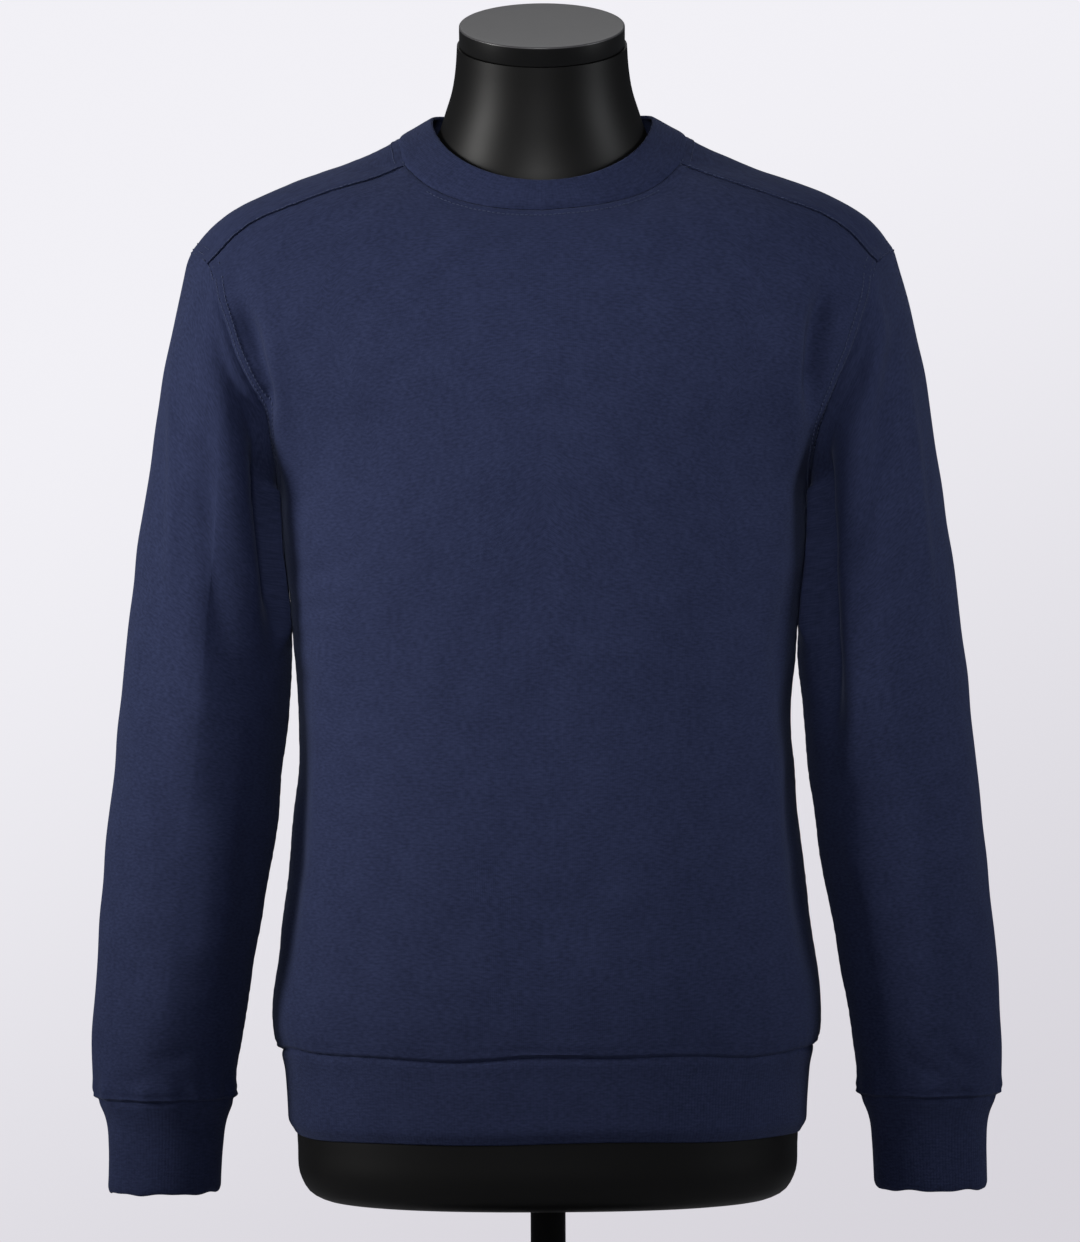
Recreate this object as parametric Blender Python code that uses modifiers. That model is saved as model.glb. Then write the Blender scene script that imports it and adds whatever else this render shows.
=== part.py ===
"""A crewneck sweatshirt worn by a limbless dress form that stands on a pole and a round base.

The garment faces -Y, +Z is up and the origin is the middle of the base's underside.
Every size below is in millimetres, and MM turns it into metres when a mesh is made.
"""
import bpy
import numpy as np

MM = 0.001

# Cloth and seams
FLEECE_WALL = 2.0
RIB_WALL = 2.8
SEAM_GAP = 0.3
MITRE_LIMIT = 0.6

# Heights and outlines that place the garment
HEM_BOTTOM = 308.0
HEM_SEAM = 366.0
ARMPIT_HEIGHT = 750.0
ARMHOLE_TOP = 909.0
SHOULDER_TIP_TURN = 150.0

# Neck rib: the rim's half-width, its reach to the front and back, and its height behind,
# with how far it dips in front and how softly the dip starts
RIM_HALF_WIDTH = 75.5
RIM_FRONT = 78.0
RIM_BACK = 45.0
RIM_SIDE_Y = 3.0
RIM_HEIGHT = 1006.0
RIM_DIP = 53.0
RIM_SOFTNESS = 0.25
NECK_RIB_SWELL = 1.2

# Stand and cap
BASE_RADIUS = 150.0
BASE_HEIGHT = 9.0
BASE_EDGE = 3.0
POLE_RADIUS = 12.0
CAP_RADIUS = 56.5
CAP_HEIGHT = 14.0
CAP_EDGE = 0.8
CAP_LEAN = 22.0
NECK_TOP_Y = -19.0
NECK_TOP_Z = 1048.5
FORM_BOTTOM = 261.0

# Cloth cells: round the front neckline, the back neckline, along the shoulder, up the side seam,
# up the front of the armhole, over and down its back, along the sleeve, and across the hem and
# neck ribs
NECK_FRONT_CELLS = 7
NECK_BACK_CELLS = 8
SHOULDER_CELLS = 5
SIDE_CELLS = 8
ARMHOLE_FRONT_CELLS = 9
ARMHOLE_BACK_CELLS = 12
SLEEVE_CELLS = 13
RIB_CELLS = 2
FORM_SIDES = 32
ROUND_STEPS = 48

# A panel's rows up the side seam: the power that sets how much they close up towards the hem,
# and how far below the armpit they end in the middle of the panel
SIDE_CLIMB = 1.25
MIDDLE_DROP = 12.0

# How often, and how far each time, a panel's inner points move as its grid is evened out
SPREAD_ROUNDS = 400
SPREAD_STEP = 0.6

# Points closer than this to x = 0 belong to the middle line, where a mirror joins the halves
MIDDLE_REACH = 0.5
MERGE_METRES = 0.0001
SHARP_EDGE_ANGLE = 40

# The worn body, one row a level: height, half-width at the side line, reach of the front and of
# the back from the side line, where the side line lies in y, and squareness (2 is an ellipse).
# Between the armpit and the shoulder the half-width is that of the body without its armholes.
BODY_LEVELS = np.array((
    # z, half_width, front, back, side_y, square
    (308, 177, 120, 114, 1, 2.30),
    (337, 178.5, 121, 115, 1, 2.30),
    (366, 182.5, 123, 118, 1, 2.30),
    (378, 187, 127, 122, 2, 2.30),
    (400, 187, 129, 121, 2, 2.30),
    (430, 183, 129, 117, 3, 2.30),
    (465, 178, 127, 111, 3, 2.35),
    (533, 171, 125, 102, 4, 2.40),
    (602, 166.5, 124, 98, 4, 2.40),
    (640, 170, 125, 99, 4, 2.40),
    (668, 173.8, 126.5, 101, 4, 2.40),
    (700, 177.6, 129, 104, 5, 2.35),
    (725, 180, 131, 106, 5, 2.30),
    (750, 182, 133, 108, 5, 2.20),
    (765, 189, 133, 109, 5, 2.15),
    (784, 202, 133, 110, 5, 2.10),
    (812, 226, 131, 110, 5, 2.10),
    (832, 246, 128, 109, 5, 2.05),
    (853, 261, 124, 107, 5, 2.00),
    (873, 266, 119, 104, 5, 2.00),
    (891, 257, 112, 100, 5, 2.00),
    (909, 240, 103, 95, 5, 2.00),
    (922, 231, 94, 90, 5, 2.00),
    (934, 218.5, 84, 85, 5, 2.00),
    (942, 207, 76, 81, 5, 2.00),
    (950, 189, 68, 77, 5, 2.00),
    (965, 148, 53, 68, 5, 2.00),
    (980, 112, 40, 58, 5, 2.00),
    (992, 92, 30, 49, 5, 2.00),
), dtype=float)

# The armhole: how far round it from the armpit (degrees), and the angle on the body there
ARMHOLE = np.array((
    # turn, body_angle
    (0, 90), (30, 76), (55, 65.5), (92, 56), (123, 56), (150, 65), (165, 76), (180, 90),
), dtype=float)

# The forward shoulder seam, from the armhole to the neckline: height and angle on the body
SHOULDER_SEAM = np.array((
    # z, body_angle
    (898.3, 65), (916, 63.8), (931, 59), (940, 52.5), (948, 48), (955, 44), (966.5, 40.5),
), dtype=float)

# The neckline seam round half the neck: angle on the body (0 in front, 180 behind) and height
NECKLINE = np.array((
    # body_angle, z
    (0, 932), (10, 935), (16, 940.5), (22, 947.5), (33, 960), (40.5, 966.5), (53, 976), (70, 984),
    (90, 988.5), (135, 986.5), (180, 984),
), dtype=float)

# The sleeve, one row a ring: the outer line, the inner line, the ring's middle in y, half-depth.
# Its first rings give way to the armhole's own line, over as many rings as the fade says.
SLEEVE_RINGS = np.array((
    # outer_x, outer_z, inner_x, inner_z, middle_y, half_depth
    (240, 909, 182, 750, 5, 69),
    (251, 868, 182.8, 728, 3, 72),
    (261.7, 815, 179.2, 700, 2, 73),
    (270, 766, 175.2, 668, 0, 72),
    (277.5, 711, 173.2, 636, -1, 70),
    (284, 657, 174.8, 603, -3, 68),
    (290, 602, 177.3, 568, -5, 66),
    (296, 547, 182.3, 530, -6, 63),
    (301.6, 492, 189.4, 485, -8, 60),
    (306, 437, 198.2, 434, -10, 56),
    (309, 388, 206.3, 387, -11, 52),
    (310, 350, 210.6, 350, -12, 45),
    (307, 331.5, 213, 331.5, -12, 40),
), dtype=float)
ARMHOLE_FADE = 4.0

# The cuff below its seam: height, outer and inner line, middle in y, half-depth
CUFF_RINGS = np.array((
    # z, outer_x, inner_x, middle_y, half_depth
    (331.5, 307, 213, -12, 40),
    (317, 301.5, 218.5, -12, 34.5),
    (299, 299.5, 221.5, -12, 31.5),
    (268, 300.3, 223, -12, 30),
), dtype=float)

# The largest folds of the body, mirrored on the other side: start and end as angle on the body
# and height, how far they stand out (a trough is negative) and how wide they are
BODY_FOLDS = np.array((
    # angle_a, z_a, angle_b, z_b, rise, width
    (52, 885, 58, 775, -6.0, 13.0),
    (40, 890, 53, 740, 4.0, 16.0),
    (72, 650, 66, 420, 4.0, 20.0),
    (84, 560, 80, 380, -3.5, 14.0),
    (128, 880, 122, 770, -5.0, 15.0),
    (150, 860, 146, 560, 3.5, 30.0),
    (112, 640, 118, 400, 4.0, 20.0),
), dtype=float)

# The largest folds of a sleeve: start and end as turn round the sleeve from its outer line
# (positive to the front) and height, rise and width
SLEEVE_FOLDS = np.array((
    # turn_a, z_a, turn_b, z_b, rise, width
    (35, 860, 28, 640, 3.5, 16.0),
    (75, 740, 62, 420, -4.0, 18.0),
    (118, 640, 130, 380, 3.5, 18.0),
    (-40, 850, -30, 600, 3.5, 18.0),
    (-85, 700, -70, 420, -4.0, 18.0),
    (170, 560, 160, 380, -3.0, 18.0),
), dtype=float)

# Radii that turn an angle into a distance round a sleeve and round the body, then how steeply a
# fold fades at its two ends and how many sleeve rings it fades over at the armhole and the cuff
ARM_GIRTH_RADIUS = 62.0
BODY_GIRTH_RADIUS = 150.0
FOLD_END_STEEPNESS = 4.0
FOLD_END_RINGS = 2.0

# The form, one row a level: height of the ring's middle, its y, lean to the front in degrees,
# half-width, reach to the front and to the back, squareness
FORM_LEVELS = np.array((
    # z, middle_y, lean, half_width, front, back, square
    (FORM_BOTTOM, 2, 0, 143, 92, 88, 2.35),
    (263, 2, 0, 154, 102, 98, 2.35),
    (268, 2, 0, 163, 109, 105, 2.35),
    (278, 2, 0, 169, 113.5, 109, 2.30),
    (300, 2, 0, 171, 115, 110, 2.30),
    (366, 2, 0, 170, 115, 109, 2.30),
    (450, 4, 0, 161, 112, 100, 2.30),
    (540, 4, 0, 151, 107, 90, 2.30),
    (610, 4, 0, 148, 105, 86, 2.30),
    (690, 5, 0, 156, 113, 92, 2.30),
    (760, 5, 0, 166, 122, 99, 2.25),
    (812, 5, 0, 176, 121, 101, 2.20),
    (853, 5, 0, 189, 114, 98, 2.15),
    (880, 5, 0, 203, 106, 93, 2.10),
    (900, 5, 1, 214, 97, 87, 2.05),
    (914, 5, 2, 214, 89, 82, 2.00),
    (926, 5, 4, 205, 83, 76, 1.95),
    (936, 5, 7, 189, 79, 71, 1.90),
    (946, 4, 11, 163, 77, 66, 1.85),
    (956, 2, 15.5, 128, 75, 60, 1.80),
    (966, 0, 20, 101, 72, 56, 1.90),
    (976, -3, 25, 81, 69, 53, 1.95),
    (988, -6, 27, 71.5, 65, 50, 2.00),
    (1002, -9, 27, 66.5, 62, 50, 2.00),
    (1018, -12, 24, 61.5, 59.5, 52, 2.00),
    (1034, -15.5, 23, 59, 58, 55, 2.00),
    (NECK_TOP_Z, NECK_TOP_Y, CAP_LEAN, 58, 57, 57, 2.00),
), dtype=float)

# Colours as red, green, blue from 0 to 1, then roughness and metallic value
MATERIALS = {
    "navy_fleece": ((0.024, 0.034, 0.085), 0.92, 0.0),
    "navy_rib": ((0.021, 0.030, 0.078), 0.94, 0.0),
    "black_form_skin": ((0.014, 0.014, 0.016), 0.55, 0.0),
    "grey_cap_top": ((0.10, 0.10, 0.105), 0.35, 0.2),
    "black_pole_paint": ((0.008, 0.008, 0.009), 0.35, 0.3),
    "black_base_paint": ((0.010, 0.010, 0.011), 0.40, 0.3),
}


def smooth(at, knots, values):
    """Cubic curve through the values, whose slope at each knot comes from its neighbours."""
    slopes = np.gradient(values, knots)
    start = np.clip(np.searchsorted(knots, at) - 1, 0, len(knots) - 2)
    step = knots[start + 1] - knots[start]
    t = np.clip((at - knots[start]) / step, 0.0, 1.0)
    rise = values[start] * (1 + 2 * t) * (1 - t) ** 2 + values[start + 1] * t * t * (3 - 2 * t)
    bend = slopes[start] * t * (1 - t) ** 2 - slopes[start + 1] * t * t * (1 - t)
    return rise + bend * step


def unit(vectors):
    """Each vector scaled to length one."""
    return vectors / np.linalg.norm(vectors, axis=-1, keepdims=True)


def fold_height(across, up, folds, radius):
    """Sum of soft ridges: each is a bell across its line, fading out at the line's two ends."""
    height = np.zeros(np.broadcast(across, up).shape)
    for angle_a, z_a, angle_b, z_b, rise, width in folds:
        run = np.array((np.radians(angle_b - angle_a) * radius, z_b - z_a))
        length = np.hypot(run[0], run[1])
        side = (across - np.radians(angle_a)) * radius
        rest = up - z_a
        along = (side * run[0] + rest * run[1]) / length ** 2
        off = (side * run[1] - rest * run[0]) / length
        fade = np.clip(np.minimum(along, 1 - along) * FOLD_END_STEEPNESS + 0.5, 0, 1)
        height = height + rise * np.exp(-0.5 * (off / width) ** 2) * fade * fade * (3 - 2 * fade)
    return height


def body_point(angle, z):
    """The worn body at an angle round it (0 in front, 90 degrees at +X, 180 behind) and a height."""
    half_width, front, back, side_y, square = (
        smooth(z, BODY_LEVELS[:, 0], BODY_LEVELS[:, column]) for column in range(1, 6))
    sine = np.sin(angle)
    cosine = np.cos(angle)
    reach = (np.abs(sine) ** square + np.abs(cosine) ** square) ** (-1 / square)
    swell = 1 + fold_height(angle, z, BODY_FOLDS, BODY_GIRTH_RADIUS) / BODY_GIRTH_RADIUS
    depth = np.where(cosine > 0, front, back)
    x = half_width * reach * sine * swell
    y = side_y - depth * reach * cosine * swell
    return np.stack((x, y, z + 0 * x), axis=-1)


def armhole_line(turns):
    """Angle on the body and height for turns round the armhole: 0 at the armpit, 180 at the top,
    past 180 down the back."""
    half = np.where(turns > 180, 360 - turns, turns)
    angle = smooth(half, ARMHOLE[:, 0], ARMHOLE[:, 1])
    angle = np.where(turns > 180, 180 - angle, angle)
    middle = (ARMPIT_HEIGHT + ARMHOLE_TOP) / 2
    z = middle - (ARMHOLE_TOP - ARMPIT_HEIGHT) / 2 * np.cos(np.radians(turns))
    return np.stack((np.radians(angle), z), axis=-1)


def shoulder_line(count):
    """Angle and height along the shoulder seam, from the neckline out to the armhole."""
    z = np.linspace(SHOULDER_SEAM[-1, 0], SHOULDER_SEAM[0, 0], count + 1)
    angle = smooth(z, SHOULDER_SEAM[:, 0], SHOULDER_SEAM[:, 1])
    return np.stack((np.radians(angle), z), axis=-1)


def neck_line(start, end, count):
    """Angle and height along the neckline between two angles in degrees, in even steps along it."""
    fine = np.linspace(start, end, 400)
    line = np.stack((np.radians(fine), smooth(fine, NECKLINE[:, 0], NECKLINE[:, 1])), axis=-1)
    points = body_point(line[:, 0], line[:, 1])
    run = np.concatenate(([0], np.cumsum(np.linalg.norm(np.diff(points, axis=0), axis=-1))))
    angle = np.interp(np.linspace(0, run[-1], count + 1), run, fine)
    return np.stack((np.radians(angle), smooth(angle, NECKLINE[:, 0], NECKLINE[:, 1])), axis=-1)


def patch(bottom, top, centre, side):
    """Blend of four edge curves: the sum of both pairs' blends less the corners' blend."""
    rows = len(side)
    columns = len(bottom)
    across = np.linspace(0, 1, columns)[None, :, None]
    up = np.linspace(0, 1, rows)[:, None, None]
    between = (1 - up) * bottom[None] + up * top[None]
    beside = (1 - across) * centre[:, None] + across * side[:, None]
    corners = ((1 - up) * ((1 - across) * bottom[0] + across * bottom[-1])
               + up * ((1 - across) * top[0] + across * top[-1]))
    return between + beside - corners


def spread(grid):
    """Even out a flat grid inside its fixed edges with Winslow's equations, so no cell folds over."""
    grid = grid * np.array((BODY_GIRTH_RADIUS, 1))
    for _ in range(SPREAD_ROUNDS):
        across = (grid[1:-1, 2:] - grid[1:-1, :-2]) / 2
        up = (grid[2:, 1:-1] - grid[:-2, 1:-1]) / 2
        twist = (grid[2:, 2:] - grid[2:, :-2] - grid[:-2, 2:] + grid[:-2, :-2]) / 4
        up_size = np.sum(up * up, axis=-1, keepdims=True)
        across_size = np.sum(across * across, axis=-1, keepdims=True)
        both = np.sum(up * across, axis=-1, keepdims=True)
        beside = up_size * (grid[1:-1, 2:] + grid[1:-1, :-2])
        between = across_size * (grid[2:, 1:-1] + grid[:-2, 1:-1])
        settled = (beside + between - 2 * both * twist) / (2 * (up_size + across_size))
        grid[1:-1, 1:-1] += SPREAD_STEP * (settled - grid[1:-1, 1:-1])
    return grid / np.array((BODY_GIRTH_RADIUS, 1))


def panel_grid(front):
    """Half of the front or back panel, from its middle out to the side: points row by row."""
    middle = 0.0 if front else np.pi
    neck_cells = NECK_FRONT_CELLS if front else NECK_BACK_CELLS
    arm_cells = ARMHOLE_FRONT_CELLS if front else ARMHOLE_BACK_CELLS
    columns = neck_cells + SHOULDER_CELLS
    angle = np.linspace(middle, np.pi / 2, columns + 1)
    bottom = np.stack((angle, np.full(columns + 1, HEM_SEAM)), axis=-1)
    corner = SHOULDER_SEAM[-1, 1]
    neck = neck_line(np.degrees(middle), corner, neck_cells)
    top = np.concatenate((neck, shoulder_line(SHOULDER_CELLS)[1:]))
    climb = np.linspace(0, 1, SIDE_CELLS + 1) ** SIDE_CLIMB
    side_z = HEM_SEAM + (ARMPIT_HEIGHT - HEM_SEAM) * climb
    seam = np.stack((np.full(SIDE_CELLS + 1, np.pi / 2), side_z), axis=-1)
    armpit_turn = 0.0 if front else 360.0
    turns = np.linspace(armpit_turn, SHOULDER_TIP_TURN, arm_cells + 1)
    side = np.concatenate((seam, armhole_line(turns)[1:]))
    low = HEM_SEAM + (ARMPIT_HEIGHT - MIDDLE_DROP - HEM_SEAM) * climb
    high = np.linspace(low[-1], neck[0, 1], arm_cells + 1)[1:]
    centre_z = np.concatenate((low, high))
    centre = np.stack((np.full(len(centre_z), middle), centre_z), axis=-1)
    grid = spread(patch(bottom, top, centre, side))
    return body_point(grid[..., 0], grid[..., 1])


def sleeve_grid():
    """The +X sleeve, ring by ring from the armhole to the cuff seam. A ring is its middle plus
    its half-width times the cosine and its half-depth times the sine of the turn."""
    front_turns = np.linspace(0, SHOULDER_TIP_TURN, ARMHOLE_FRONT_CELLS + 1)[:-1]
    back_turns = np.linspace(SHOULDER_TIP_TURN, 360, ARMHOLE_BACK_CELLS + 1)[:-1]
    turns = np.concatenate((front_turns, back_turns))
    line = armhole_line(turns)
    armhole = body_point(line[:, 0], line[:, 1])
    at = np.linspace(0, len(SLEEVE_RINGS) - 1, SLEEVE_CELLS + 1)
    knots = np.arange(len(SLEEVE_RINGS), dtype=float)
    outer_x, outer_z, inner_x, inner_z, middle_y, half_depth = (
        smooth(at, knots, SLEEVE_RINGS[:, column])[:, None] for column in range(6))
    cosine = -np.cos(np.radians(turns))[None]
    sine = np.sin(np.radians(turns))[None]
    x = (outer_x + inner_x) / 2 + (outer_x - inner_x) / 2 * cosine
    z = (outer_z + inner_z) / 2 + (outer_z - inner_z) / 2 * cosine
    y = middle_y - half_depth * sine
    rings = np.stack((x, y, z), axis=-1)
    fade = np.clip(1 - at / ARMHOLE_FADE, 0, 1)[:, None, None] ** 2
    rings = rings + (armhole - rings[0])[None] * fade
    round_turn = np.arctan2(sine, cosine)
    fold = fold_height(round_turn, rings[..., 2], SLEEVE_FOLDS, ARM_GIRTH_RADIUS)
    from_ends = np.minimum(at, at[-1] - at)[:, None]
    fold = fold * np.clip(from_ends / FOLD_END_RINGS, 0, 1)
    middle = rings.mean(axis=1, keepdims=True)
    outward = (rings - middle) * np.array((1, 1, 0))
    return rings + unit(outward) * fold[..., None]


def cuff_grid(seam_ring):
    """The +X cuff below the sleeve's last ring, which is also its first."""
    z, outer_x, inner_x, middle_y, half_depth = (
        CUFF_RINGS[:, column][:, None] for column in range(5))
    middle_x = (SLEEVE_RINGS[-1, 0] + SLEEVE_RINGS[-1, 2]) / 2
    cosine = (seam_ring[:, 0] - middle_x) / (SLEEVE_RINGS[-1, 0] - middle_x)
    sine = -(seam_ring[:, 1] - SLEEVE_RINGS[-1, 4]) / SLEEVE_RINGS[-1, 5]
    x = (outer_x + inner_x) / 2 + (outer_x - inner_x) / 2 * cosine
    y = middle_y - half_depth * sine
    rings = np.stack((x, y, z + 0 * x), axis=-1)
    rings[0] = seam_ring
    return rings


def hem_rib_grid(front, back):
    """Half of the hem rib, from the middle of the front round to the middle of the back."""
    seam = np.concatenate((front[0], back[0, ::-1][1:]))
    angle = np.concatenate((np.linspace(0, np.pi / 2, front.shape[1]),
                            np.linspace(np.pi / 2, np.pi, back.shape[1])[1:]))
    z = np.linspace(HEM_BOTTOM, HEM_SEAM, RIB_CELLS + 1)
    rows = body_point(angle[None], z[:, None])
    rows[-1] = seam
    return rows


def neck_rib_grid(front, back):
    """Half of the neck rib, from the neckline seam up to the rim, front to back."""
    neckline = np.concatenate((front[-1, :NECK_FRONT_CELLS + 1],
                               back[-1, :NECK_BACK_CELLS + 1][::-1][1:]))
    run_y = neckline[:, 1] - RIM_SIDE_Y
    reach = np.where(run_y < 0, -run_y / -neckline[0, 1], -run_y / neckline[-1, 1])
    turn = np.arctan2(neckline[:, 0] / neckline[:, 0].max(), reach)
    turn[0] = 0
    turn[-1] = np.pi
    cosine = np.cos(turn)
    dip = (cosine + np.sqrt(cosine ** 2 + RIM_SOFTNESS ** 2)) / 2
    rim_x = RIM_HALF_WIDTH * np.sin(turn)
    rim_y = RIM_SIDE_Y - np.where(cosine > 0, RIM_FRONT, RIM_BACK) * cosine
    rim = np.stack((rim_x, rim_y, RIM_HEIGHT - RIM_DIP * dip), axis=-1)
    up = np.linspace(0, 1, RIB_CELLS + 1)[:, None, None]
    band = neckline[None] * (1 - up) + rim[None] * up
    outward = unit(neckline * np.array((1, 1, 0)))
    return band + outward[None] * NECK_RIB_SWELL * 4 * up * (1 - up)


def grid_normals(points, closed):
    """Normals of a grid whose rows climb and whose columns run round, front to +X to back."""
    if closed:
        wide = np.concatenate((points[:, -1:], points, points[:, :1]), axis=1)
        along = np.gradient(wide, axis=1)[:, 1:-1]
    else:
        along = np.gradient(points, axis=1)
        along[:, 0, 1:] = 0
        along[:, -1, 1:] = np.where(np.abs(points[:, -1, :1]) < 1e-6, 0, along[:, -1, 1:])
    return unit(np.cross(along, np.gradient(points, axis=0)))


def seam_way(points, into_first, into_second, closed=False):
    """Unit vectors across a seam, from its first piece to its second: square to the seam, and
    halfway between the ways into the two pieces, so they also part a crease as sharp as an armpit."""
    if closed:
        wide = np.concatenate((points[-1:], points, points[:1]))
        along = unit(np.gradient(wide, axis=0)[1:-1])
    else:
        along = unit(np.gradient(points, axis=0))
    ways = []
    for into in (into_first - points, into_second - points):
        square = into - along * np.sum(into * along, axis=-1, keepdims=True)
        ways.append(unit(square))
    return unit(ways[1] - ways[0])


def seam_rules(grids):
    """For each piece, its seam edges as rows, columns and the unit vectors away from the seam."""
    front, back = grids["front_panel"], grids["back_panel"]
    sleeve, neck = grids["sleeve"], grids["neck_rib"]
    rules = {name: [] for name in grids}
    arm = slice(SIDE_CELLS, None)
    low = slice(0, SIDE_CELLS + 1)
    below = np.concatenate((front[arm, -2][:-1], back[arm, -2][:0:-1]))
    below[0] = (front[SIDE_CELLS, -2] + back[SIDE_CELLS, -2]) / 2 + front[SIDE_CELLS - 1, -1]
    below[0] = below[0] - front[SIDE_CELLS, -1]
    way = seam_way(sleeve[0], below, sleeve[1], closed=True)
    way_back = np.concatenate((way[:1], way[:ARMHOLE_FRONT_CELLS - 1:-1]))
    rules["sleeve"].append((0, slice(None), way))
    rules["front_panel"].append((arm, -1, -way[:ARMHOLE_FRONT_CELLS + 1]))
    rules["back_panel"].append((arm, -1, -way_back))
    way = seam_way(front[low, -1], front[low, -2], back[low, -2])
    rules["front_panel"].append((low, -1, -way))
    rules["back_panel"].append((low, -1, way))
    over_f = slice(NECK_FRONT_CELLS, None)
    over_b = slice(NECK_BACK_CELLS, None)
    way = seam_way(front[-1, over_f], front[-2, over_f], back[-2, over_b])
    rules["front_panel"].append((-1, over_f, -way))
    rules["back_panel"].append((-1, over_b, way))
    round_f = slice(0, NECK_FRONT_CELLS + 1)
    round_b = slice(0, NECK_BACK_CELLS + 1)
    below = np.concatenate((front[-2, round_f], back[-2, round_b][::-1][1:]))
    way = seam_way(neck[0], below, neck[1])
    way[[0, -1], 0] = 0
    rules["neck_rib"].append((0, slice(None), way))
    rules["front_panel"].append((-1, round_f, -way[:NECK_FRONT_CELLS + 1]))
    rules["back_panel"].append((-1, round_b, -way[NECK_FRONT_CELLS:][::-1]))
    up = np.array((0.0, 0.0, 1.0))
    for name, row, way in (("front_panel", 0, up), ("back_panel", 0, up), ("hem_rib", -1, -up),
                           ("sleeve", -1, up), ("cuff", 0, -up)):
        rules[name].append((row, slice(None), np.tile(way, (grids[name].shape[1], 1))))
    return rules


def cloth_sides(points, normals, rules, wall):
    """Outer and inner grid of a piece. Its seam edges move half a gap into the piece, and the
    inner edge leans no further than square to the seam, so walls part on both kinds of crease."""
    outer = points.copy()
    inward = -normals * wall
    for rows, columns, away in rules:
        outer[rows, columns] += away * SEAM_GAP / 2
        step = inward[rows, columns]
        over = np.minimum(np.sum(step * away, axis=-1, keepdims=True), 0)
        square = step - over * away
        stretch = 1 / np.maximum(1 - (over / wall) ** 2, MITRE_LIMIT)
        inward[rows, columns] = square * stretch
    return outer, outer + inward


def quads(index, flip):
    """Four-cornered faces between the neighbouring rows and columns of a grid of vertex numbers."""
    faces = np.stack((index[:-1, :-1], index[:-1, 1:], index[1:, 1:], index[1:, :-1]), axis=-1)
    faces = faces.reshape(-1, 4)
    return faces[:, ::-1] if flip else faces


def wall_mesh(name, outer, inner, closed, open_edges=(), flip=False):
    """A closed wall between an outer and an inner grid, left open at the edges on a mirror plane."""
    rows, columns = outer.shape[:2]
    number = np.arange(rows * columns).reshape(rows, columns)
    if closed:
        number = np.concatenate((number, number[:, :1]), axis=1)
    under = number + rows * columns
    faces = [quads(number, flip), quads(under, not flip)]
    faces.append(quads(np.stack((under[0], number[0])), flip))
    faces.append(quads(np.stack((number[-1], under[-1])), flip))
    if not closed and "first" not in open_edges:
        faces.append(quads(np.stack((number[:, 0], under[:, 0])).T, not flip))
    if not closed and "last" not in open_edges:
        faces.append(quads(np.stack((under[:, -1], number[:, -1])).T, not flip))
    mesh = bpy.data.meshes.new(name)
    points = np.concatenate((outer.reshape(-1, 3), inner.reshape(-1, 3))) * MM
    mesh.from_pydata(points.tolist(), [], np.concatenate(faces).tolist())
    mesh.validate()
    return mesh


def material(name):
    """A Principled material with the named colour, roughness and metallic value."""
    colour, roughness, metallic = MATERIALS[name]
    made = bpy.data.materials.get(name) or bpy.data.materials.new(name)
    made.use_nodes = True
    shader = made.node_tree.nodes["Principled BSDF"]
    shader.inputs["Base Color"].default_value = (*colour, 1)
    shader.inputs["Roughness"].default_value = roughness
    shader.inputs["Metallic"].default_value = metallic
    return made


def add_part(name, mesh, material_name, collection):
    """One named object with its material."""
    part = bpy.data.objects.new(name, mesh)
    mesh.materials.append(material(material_name))
    collection.objects.link(part)
    return part


def add_mirror(part):
    """The other half across x = 0, joined at the plane."""
    mirror = part.modifiers.new("other_half", "MIRROR")
    mirror.use_axis = (True, False, False)
    mirror.merge_threshold = MERGE_METRES


def make_cloth(collection):
    """Every cloth piece: grids with common seam points, then walls a seam gap apart. Pieces that
    cross the middle are half a grid with a mirror, and the arms' pieces are made once a side."""
    front = panel_grid(front=True)
    back = panel_grid(front=False)
    sleeve = sleeve_grid()
    grids = {
        "front_panel": front,
        "back_panel": back,
        "hem_rib": hem_rib_grid(front, back),
        "neck_rib": neck_rib_grid(front, back),
        "sleeve": sleeve,
        "cuff": cuff_grid(sleeve[-1]),
    }
    rules = seam_rules(grids)
    for name, points in grids.items():
        is_tube = name in ("sleeve", "cuff")
        is_rib = name in ("hem_rib", "neck_rib", "cuff")
        flip = is_tube or name == "back_panel"
        normals = grid_normals(points, is_tube) * (-1 if flip else 1)
        wall = RIB_WALL if is_rib else FLEECE_WALL
        cloth = "navy_rib" if is_rib else "navy_fleece"
        outer, inner = cloth_sides(points, normals, rules[name], wall)
        if is_tube:
            for side, sign in (("left", 1), ("right", -1)):
                mirrored = np.array((sign, 1, 1))
                part_name = f"{name}_{side}"
                mesh = wall_mesh(part_name, outer * mirrored, inner * mirrored, True, flip=sign > 0)
                add_part(part_name, mesh, cloth, collection)
            continue
        on_plane = [edge for edge, column in (("first", 0), ("last", -1))
                    if np.abs(points[:, column, 0]).max() < MIDDLE_REACH]
        for edge in on_plane:
            column = 0 if edge == "first" else -1
            outer[:, column, 0] = 0
            inner[:, column, 0] = 0
        mesh = wall_mesh(name, outer, inner, False, on_plane, flip)
        add_mirror(add_part(name, mesh, cloth, collection))


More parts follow.
